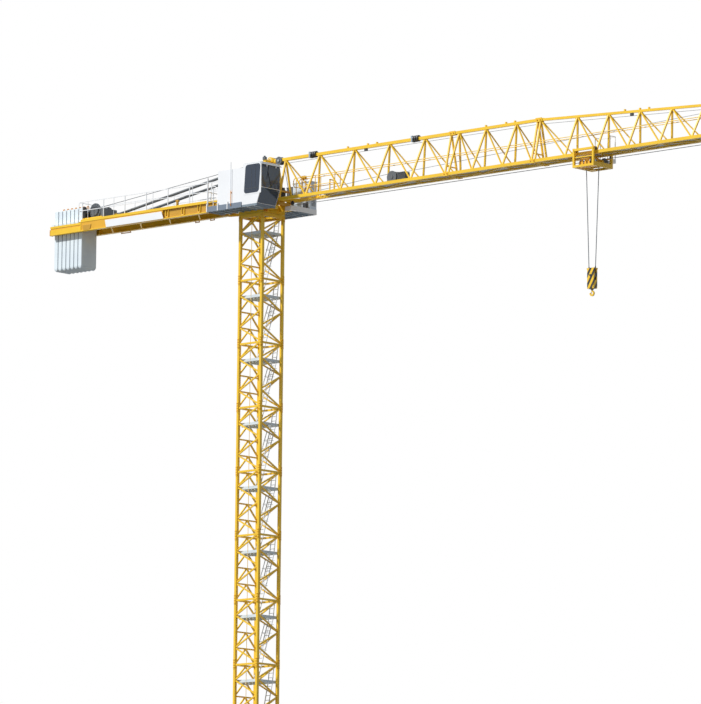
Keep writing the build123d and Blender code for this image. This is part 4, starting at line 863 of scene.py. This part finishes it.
def counter_jib_fittings():
    """Slab lugs, the deck by the winch and small brackets."""
    lugs = Shape()
    arch = [math.radians(180 * k / 8) for k in range(9)]
    foot, spring, half = 17.92, 18.01, 0.04
    for i in range(SLABS):
        x = SLAB_START + i * SLAB_PITCH + SLAB_HALF
        points = [(x, half, foot)] + [(x, half * math.cos(t), spring + half * math.sin(t)) for t in arch]
        points.append((x, -half, foot))
        lugs.tube(points, 0.015, 8)
    lugs.make("slab_lugs", UPPER, orange, PAINT)
    grate = Shape().box((-6.85, -0.41, 17.5), (-6.04, 0.41, 17.516))
    grate.make("winch_foot_deck", UPPER, deck_grey, DECK)
    marker = Shape().box((-3.58, -0.30, 17.518), (-3.52, -0.24, 17.70))
    marker.box((-3.61, -0.31, 17.67), (-3.49, -0.23, 17.73))
    y, z = 0.48, 17.07
    for x, length in ((-3.45, 0.2), (-2.77, 0.2), (-6.85, 0.45)):
        marker.rod((x, y, z), (x + length, y, z), 0.016)
        for end in (x + 0.02, x + length - 0.02):
            marker.rod((end, y, z), (end, y, 17.115), 0.014)
    marker.make("girder_small_brackets", UPPER, ochre, PAINT)


def tie_rods_and_posts():
    """Round tie rods, and the posts and rails behind the railings."""
    rods = Shape()
    for y in (-0.29, 0.29):
        rods.rod((-6.21, y, 17.546), (0.325, y, 18.541), 0.045, 24)
        rods.disc((-6.23, y, 17.548), 0.035, 0.075, ALONG_Y, 20)
    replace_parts(rods.make("tie_rod_tubes", UPPER, tie_grey, MACHINE), "tie_rods")
    posts = Shape()
    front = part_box("counter_jib_railings")[0].x
    rear, out, heights = -7.87, 0.498, (18.09, 17.8)
    for s in (-1, 1):
        for x in (rear, -7.45, -6.25, -4.45, -2.65):
            posts.rod((x, s * out, 17.5 if x > -7.77 else 17.405), (x, s * out, heights[0]), 0.008)
        for z in heights:
            posts.rod((rear, s * out, z), (front, s * out, z), 0.009)
    for z in heights:
        posts.rod((rear, -out, z), (rear, out, z), 0.009)
    posts.make("counter_jib_extra_posts", UPPER, white, STEEL)


def winch_fittings():
    """Wound rope, gear case, motor fins and brake of the hoist winch."""
    centre = (DRUM_LOW + DRUM_HIGH) / 2
    x, z = centre.x, centre.z
    turns, steps, wound = 20, 24, 0.156
    points = []
    for i in range(turns * steps + 1):
        turn = 2 * math.pi * i / steps
        y = -0.2 + 0.4 * i / (turns * steps)
        points.append((x + wound * math.cos(turn), y, z + wound * math.sin(turn)))
    Shape().tube(points, 0.009, 6).make("winch_rope_wraps", UPPER, wire, "wire_rope")
    gear = Shape().disc((x, -0.29, z), 0.25, 0.03, ALONG_Y, 40)
    gear.disc((x, -0.315, z), 0.16, 0.05, ALONG_Y, 32).disc((x, 0.3, z), 0.2, 0.05, ALONG_Y, 32)
    count, ring = 12, 0.21
    for i in range(count):
        turn = 2 * math.pi * i / count
        bolt_x, bolt_z = x + ring * math.cos(turn), z + ring * math.sin(turn)
        gear.rod((bolt_x, -0.32, bolt_z), (bolt_x, -0.29, bolt_z), 0.014, 6)
    gear.make("winch_gear_case", UPPER, tie_grey, MACHINE)
    fins = Shape()
    motor_low, motor_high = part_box("winch_motor")
    mx, mz = (motor_low.x + motor_high.x) / 2, motor_high.z - 0.13
    for i in range(9):
        fins.disc((mx, -0.2 + i * 0.05, mz), 0.138, 0.012, ALONG_Y, 28)
    fins.box((mx - 0.06, -0.1, mz + 0.1), (mx + 0.06, 0.1, mz + 0.19))
    fins.box((x + 0.25, -0.3, 17.55), (x + 0.42, 0.3, 17.83))
    fins.make("winch_motor_fins", UPPER, tie_grey, MACHINE)
    brake_x, brake_y = motor_low.x + 0.013, -0.36
    brake = Shape().rod((brake_x, brake_y, 17.50), (brake_x, brake_y, 17.90), 0.085, 24)
    brake.disc((brake_x, brake_y, 17.92), 0.06, 0.05, ALONG_Z, 24)
    brake.make("winch_brake", UPPER, dark, MACHINE)


# Trolley and hook block
def trolley_fittings():
    """Post caps and the housings of the sheaves."""
    low, high, mid = TROLLEY_LOW, TROLLEY_HIGH, TROLLEY_X
    caps, half = Shape(), 0.037
    for x in TROLLEY_ENDS:
        for s in (-1, 1):
            y = s * TROLLEY_POST
            caps.box((x - half, y - half, high.z - 0.01), (x + half, y + half, high.z + 0.012))
            caps.disc((x, s * 0.469, CHORD_Z + 0.11), 0.026, 0.012, ALONG_Y, 16)
    caps.make("trolley_plates", TROLLEY, yellow, PAINT)
    housings = Shape()
    for s in (-1, 1):
        x = mid + s * 0.17
        for y in (-0.042, 0.030):
            outline = rounded((x - 0.1, low.z + 0.02), (x + 0.1, 17.0), 0.06)
            housings.prism(outline, y, y + 0.012, upright)
        housings.box((x - 0.09, 0.06, low.z + 0.07), (x + 0.09, 0.2, low.z + 0.18))
        outline = trapezium(mid + s * 0.23, 0.075, 0.04, low.z + 0.02, low.z + 0.21)
        for y in (-0.30, -0.19):
            housings.prism(outline, y, y + 0.014, upright)
    housings.box((low.x + 0.07, -0.31, low.z + 0.005), (high.x - 0.07, -0.17, low.z + 0.035))
    housings.box((mid - 0.09, -0.30, low.z + 0.035), (mid + 0.07, -0.19, low.z + 0.17))
    housings.box((mid - 0.06, -0.28, low.z + 0.17), (mid + 0.03, -0.21, low.z + 0.24))
    housings.rod((low.x + 0.10, -0.245, low.z + 0.15), (high.x - 0.10, -0.245, low.z + 0.15), 0.016, 12)
    housings.box((mid - 0.30, -0.062, low.z + 0.06), (mid + 0.30, -0.052, low.z + 0.20))
    for dx in (-0.13, 0.0, 0.13):
        outline = trapezium(mid + dx, 0.05, 0.025, low.z + 0.04, low.z + 0.275)
        housings.prism(outline, -0.352, -0.338, upright)
    housings.bar((mid - 0.16, -0.345, low.z + 0.255), (mid + 0.16, -0.345, low.z + 0.255), 0.03)
    housings.box((high.x - 0.13, -0.26, low.z + 0.05), (high.x - 0.11, -0.035, low.z + 0.27))
    housings.make("trolley_sheave_housings", TROLLEY, amber, PAINT)


def trolley_machinery():
    """Cable wheel, switch box, side rails, side sheaves and drives."""
    low, high, mid = TROLLEY_LOW, TROLLEY_HIGH, TROLLEY_X
    wheel = Shape().disc((high.x - 0.085, 0.16, low.z + 0.19), 0.115, 0.04, ALONG_X, 32)
    wheel.make("trolley_cable_wheel", TROLLEY, black, MACHINE)
    device = Shape().box((high.x - 0.13, 0.29, low.z + 0.14), (high.x - 0.05, 0.37, low.z + 0.25))
    device.make("trolley_switch_box", TROLLEY, pale, STEEL)
    rails = Shape()
    for s in (-1, 1):
        y, z = s * TROLLEY_POST, low.z + 0.31
        rails.bar((low.x + 0.07, y, z), (high.x - 0.07, y, z), 0.032)
    rails.box((high.x - 0.022, -0.395, low.z + 0.04), (high.x - 0.002, 0.395, low.z + 0.135))
    rails.box((low.x + 0.002, -0.395, low.z + 0.04), (low.x + 0.022, 0.395, low.z + 0.10))
    rails.box((low.x + 0.06, 0.22, low.z + 0.004), (low.x + 0.26, 0.40, low.z + 0.03))
    rails.make("trolley_side_rails", TROLLEY, yellow, PAINT)
    discs = Shape()
    for dx in (-0.24, 0.25):
        discs.disc((mid + dx, -0.235, low.z + 0.15), 0.105, 0.05, ALONG_Y, 32)
        discs.disc((mid + dx, 0.24, low.z + 0.15), 0.10, 0.045, ALONG_Y, 32)
    discs.make("trolley_side_sheaves", TROLLEY, fascia_grey, MACHINE)
    x, z = mid + 0.05, low.z + 0.13
    motor = Shape().rod((x, -0.1, z), (x, -0.325, z), 0.06, 18)
    motor.rod((mid - 0.2, 0.26, low.z + 0.12), (mid + 0.2, 0.26, low.z + 0.12), 0.05, 16)
    for x in TROLLEY_ENDS:
        for s in (-1, 1):
            motor.disc((x, s * 0.382, CHORD_Z - 0.08), 0.035, 0.024, ALONG_Y, 16)
    motor.make("trolley_devices", TROLLEY, dark, MACHINE)


def basket_mesh():
    """Bars and boards round the service basket."""
    basket = Shape()
    low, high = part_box("maintenance_basket")
    spaces, thin = 6, 0.004
    for i in range(1, spaces):
        x = low.x + i * (high.x - low.x) / spaces
        basket.rod((x, high.y - 0.011, low.z), (x, high.y - 0.011, high.z - 0.42), 0.006)
    ends = (low.x - thin, high.x + thin)
    foot, head = low.z - 0.003, low.z + 0.12
    basket.box((ends[0], high.y - thin, foot), (ends[1], high.y + thin, head))
    for x in ends:
        basket.box((x - thin, low.y + 0.002, foot), (x + thin, high.y, head))
    basket.make("basket_mesh", TROLLEY, white, STEEL)


def rope_falls():
    """The two falls between trolley and hook block."""
    top, foot = FALLS_HIGH.z, FALLS_LOW.z
    falls = Shape()
    for s in (-1, 1):
        # Only two rings each, so that the falls stay straight at every height of the hook
        falls.tube([(TROLLEY_X + s * 0.255, 0, top), (TROLLEY_X + s * 0.13, 0, foot)], 0.013, 8)
    rope = falls.make("rope_fall_lines", None, wire, "wire_rope")
    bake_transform(rope)
    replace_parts(rope, "rope_falls")


def block_fittings():
    """Cheek covers and pins of the hook block, collar and latch of the hook."""
    low, high = BLOCK_LOW, BLOCK_HIGH
    x, y = TROLLEY_X, high.y
    covers = Shape()
    for s in (-1, 1):
        outline = rounded((x - 0.128, low.z + 0.02), (x + 0.128, high.z - 0.06), 0.05)
        covers.prism(outline, s * y, s * (y + 0.006), upright)
    covers.make("hook_block_covers", BLOCK, stripes, "hazard_paint")
    pins = Shape().rod((x, -y - 0.02, high.z - 0.23), (x, y + 0.02, high.z - 0.23), 0.035, 18)
    for s in (-1, 1):
        pins.rod((x + s * 0.13, 0, high.z - 0.01), (x + s * 0.131, 0, high.z + 0.05), 0.018, 12)
    pins.make("hook_block_pins", BLOCK, dark, MACHINE)
    h_low, h_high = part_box("hook")
    collar = Shape().disc((x, 0, h_high.z - 0.02), 0.045, 0.035, ALONG_Z, 20)
    collar.bar((x - 0.005, 0, h_high.z - 0.09), (x - 0.075, 0, h_low.z + 0.09), 0.018, 0.01)
    collar.make("hook_collar_latch", "hook", dark, MACHINE)


for fit in (tower_joints, platform_fittings, ladder_fittings, tower_top_gussets, slewing_fittings,
            cab_fittings, deck_fittings, cabinet_fittings, jib_fittings, jib_root_fittings, head_fittings,
            girder_fittings, counter_jib_fittings, slab_shapes, tie_rods_and_posts, winch_fittings,
            trolley_fittings, trolley_machinery, basket_mesh, rope_falls, block_fittings):
    fit()


# Floor, world, sun and camera
def one_sided_floor():
    """A pale floor, clear from below, that throws little light back on the crane."""
    bpy.ops.mesh.primitive_plane_add(size=900, location=(0, 0, -0.002))
    floor = bpy.context.object
    floor.name = "floor"
    material, new, link, shader = new_material("floor_pale")
    path = new("ShaderNodeLightPath")
    tone = new("ShaderNodeMix")
    tone.data_type = "RGBA"
    put(tone, A=(0.82, 0.82, 0.82, 1), B=(0.16, 0.16, 0.16, 1))
    link(path.outputs["Is Diffuse Ray"], tone.inputs["Factor"])
    link(tone.outputs["Result"], shader.inputs["Base Color"])
    put(shader, Roughness=0.9)
    clear = new("ShaderNodeBsdfTransparent")
    side = new("ShaderNodeNewGeometry")
    mix = new("ShaderNodeMixShader")
    link(side.outputs["Backfacing"], mix.inputs["Fac"])
    link(shader.outputs["BSDF"], mix.inputs[1])
    link(clear.outputs["BSDF"], mix.inputs[2])
    link(mix.outputs["Shader"], material.node_tree.nodes["Material Output"].inputs["Surface"])
    floor.data.materials.append(material)


def studio_world():
    """White where the camera, glass or gloss sees it, and a dimmer cool light for the rest."""
    world = bpy.data.worlds.new("studio")
    bpy.context.scene.world = world
    world.use_nodes = True
    nodes, link = world.node_tree.nodes, world.node_tree.links.new
    light = nodes["Background"]
    put(light, Color=(0.88, 0.95, 1.04, 1), Strength=0.38)
    seen = nodes.new("ShaderNodeBackground")
    put(seen, Color=(1, 1, 1, 1), Strength=1.0)
    path = nodes.new("ShaderNodeLightPath")
    any_seen = path.outputs["Is Camera Ray"]
    for ray in ("Is Transmission Ray", "Is Glossy Ray"):
        either = nodes.new("ShaderNodeMath")
        either.operation = "MAXIMUM"
        link(any_seen, either.inputs[0])
        link(path.outputs[ray], either.inputs[1])
        any_seen = either.outputs["Value"]
    mix = nodes.new("ShaderNodeMixShader")
    link(any_seen, mix.inputs["Fac"])
    link(light.outputs["Background"], mix.inputs[1])
    link(seen.outputs["Background"], mix.inputs[2])
    link(mix.outputs["Shader"], nodes["World Output"].inputs["Surface"])


def sun(name, towards, energy, angle):
    """A sun lamp that shines along a direction; angle is its width in degrees."""
    lamp = bpy.data.lights.new(name, "SUN")
    lamp.energy = energy
    lamp.angle = math.radians(angle)
    obj = bpy.data.objects.new(name, lamp)
    obj.rotation_mode = "QUATERNION"
    obj.rotation_quaternion = Vector(towards).to_track_quat("-Z", "Y")
    bpy.context.scene.collection.objects.link(obj)


def photo_camera():
    """Camera far off and below, at the picture's viewing angle."""
    azimuth, elevation, roll = (math.radians(a) for a in (42.454, -8.501, 0.586))
    distance, shift_right, shift_down = 193.862, 2.861, 4.353
    back = Vector((math.sin(azimuth) * math.cos(elevation), -math.cos(azimuth) * math.cos(elevation),
                   math.sin(elevation)))
    level = Vector((math.cos(azimuth), math.sin(azimuth), 0))
    rise = back.cross(level)
    right = level * math.cos(roll) + rise * math.sin(roll)
    up = rise * math.cos(roll) - level * math.sin(roll)
    place = Vector((0, 0, TOWER_TOP)) + back * distance + right * shift_right - up * shift_down
    lens = bpy.data.cameras.new("photo_camera")
    lens.sensor_width = 36
    lens.lens = 306.8
    lens.clip_start = 1
    lens.clip_end = 2000
    camera = bpy.data.objects.new("photo_camera", lens)
    turn = Matrix((right, up, back)).transposed().to_4x4()
    camera.matrix_world = Matrix.Translation(place) @ turn
    bpy.context.scene.collection.objects.link(camera)
    bpy.context.scene.camera = camera


one_sided_floor()
studio_world()
sun("key_sun", towards=(0.48, 0.55, -0.68), energy=3.8, angle=3)
photo_camera()
bpy.context.scene.view_settings.view_transform = "Standard"
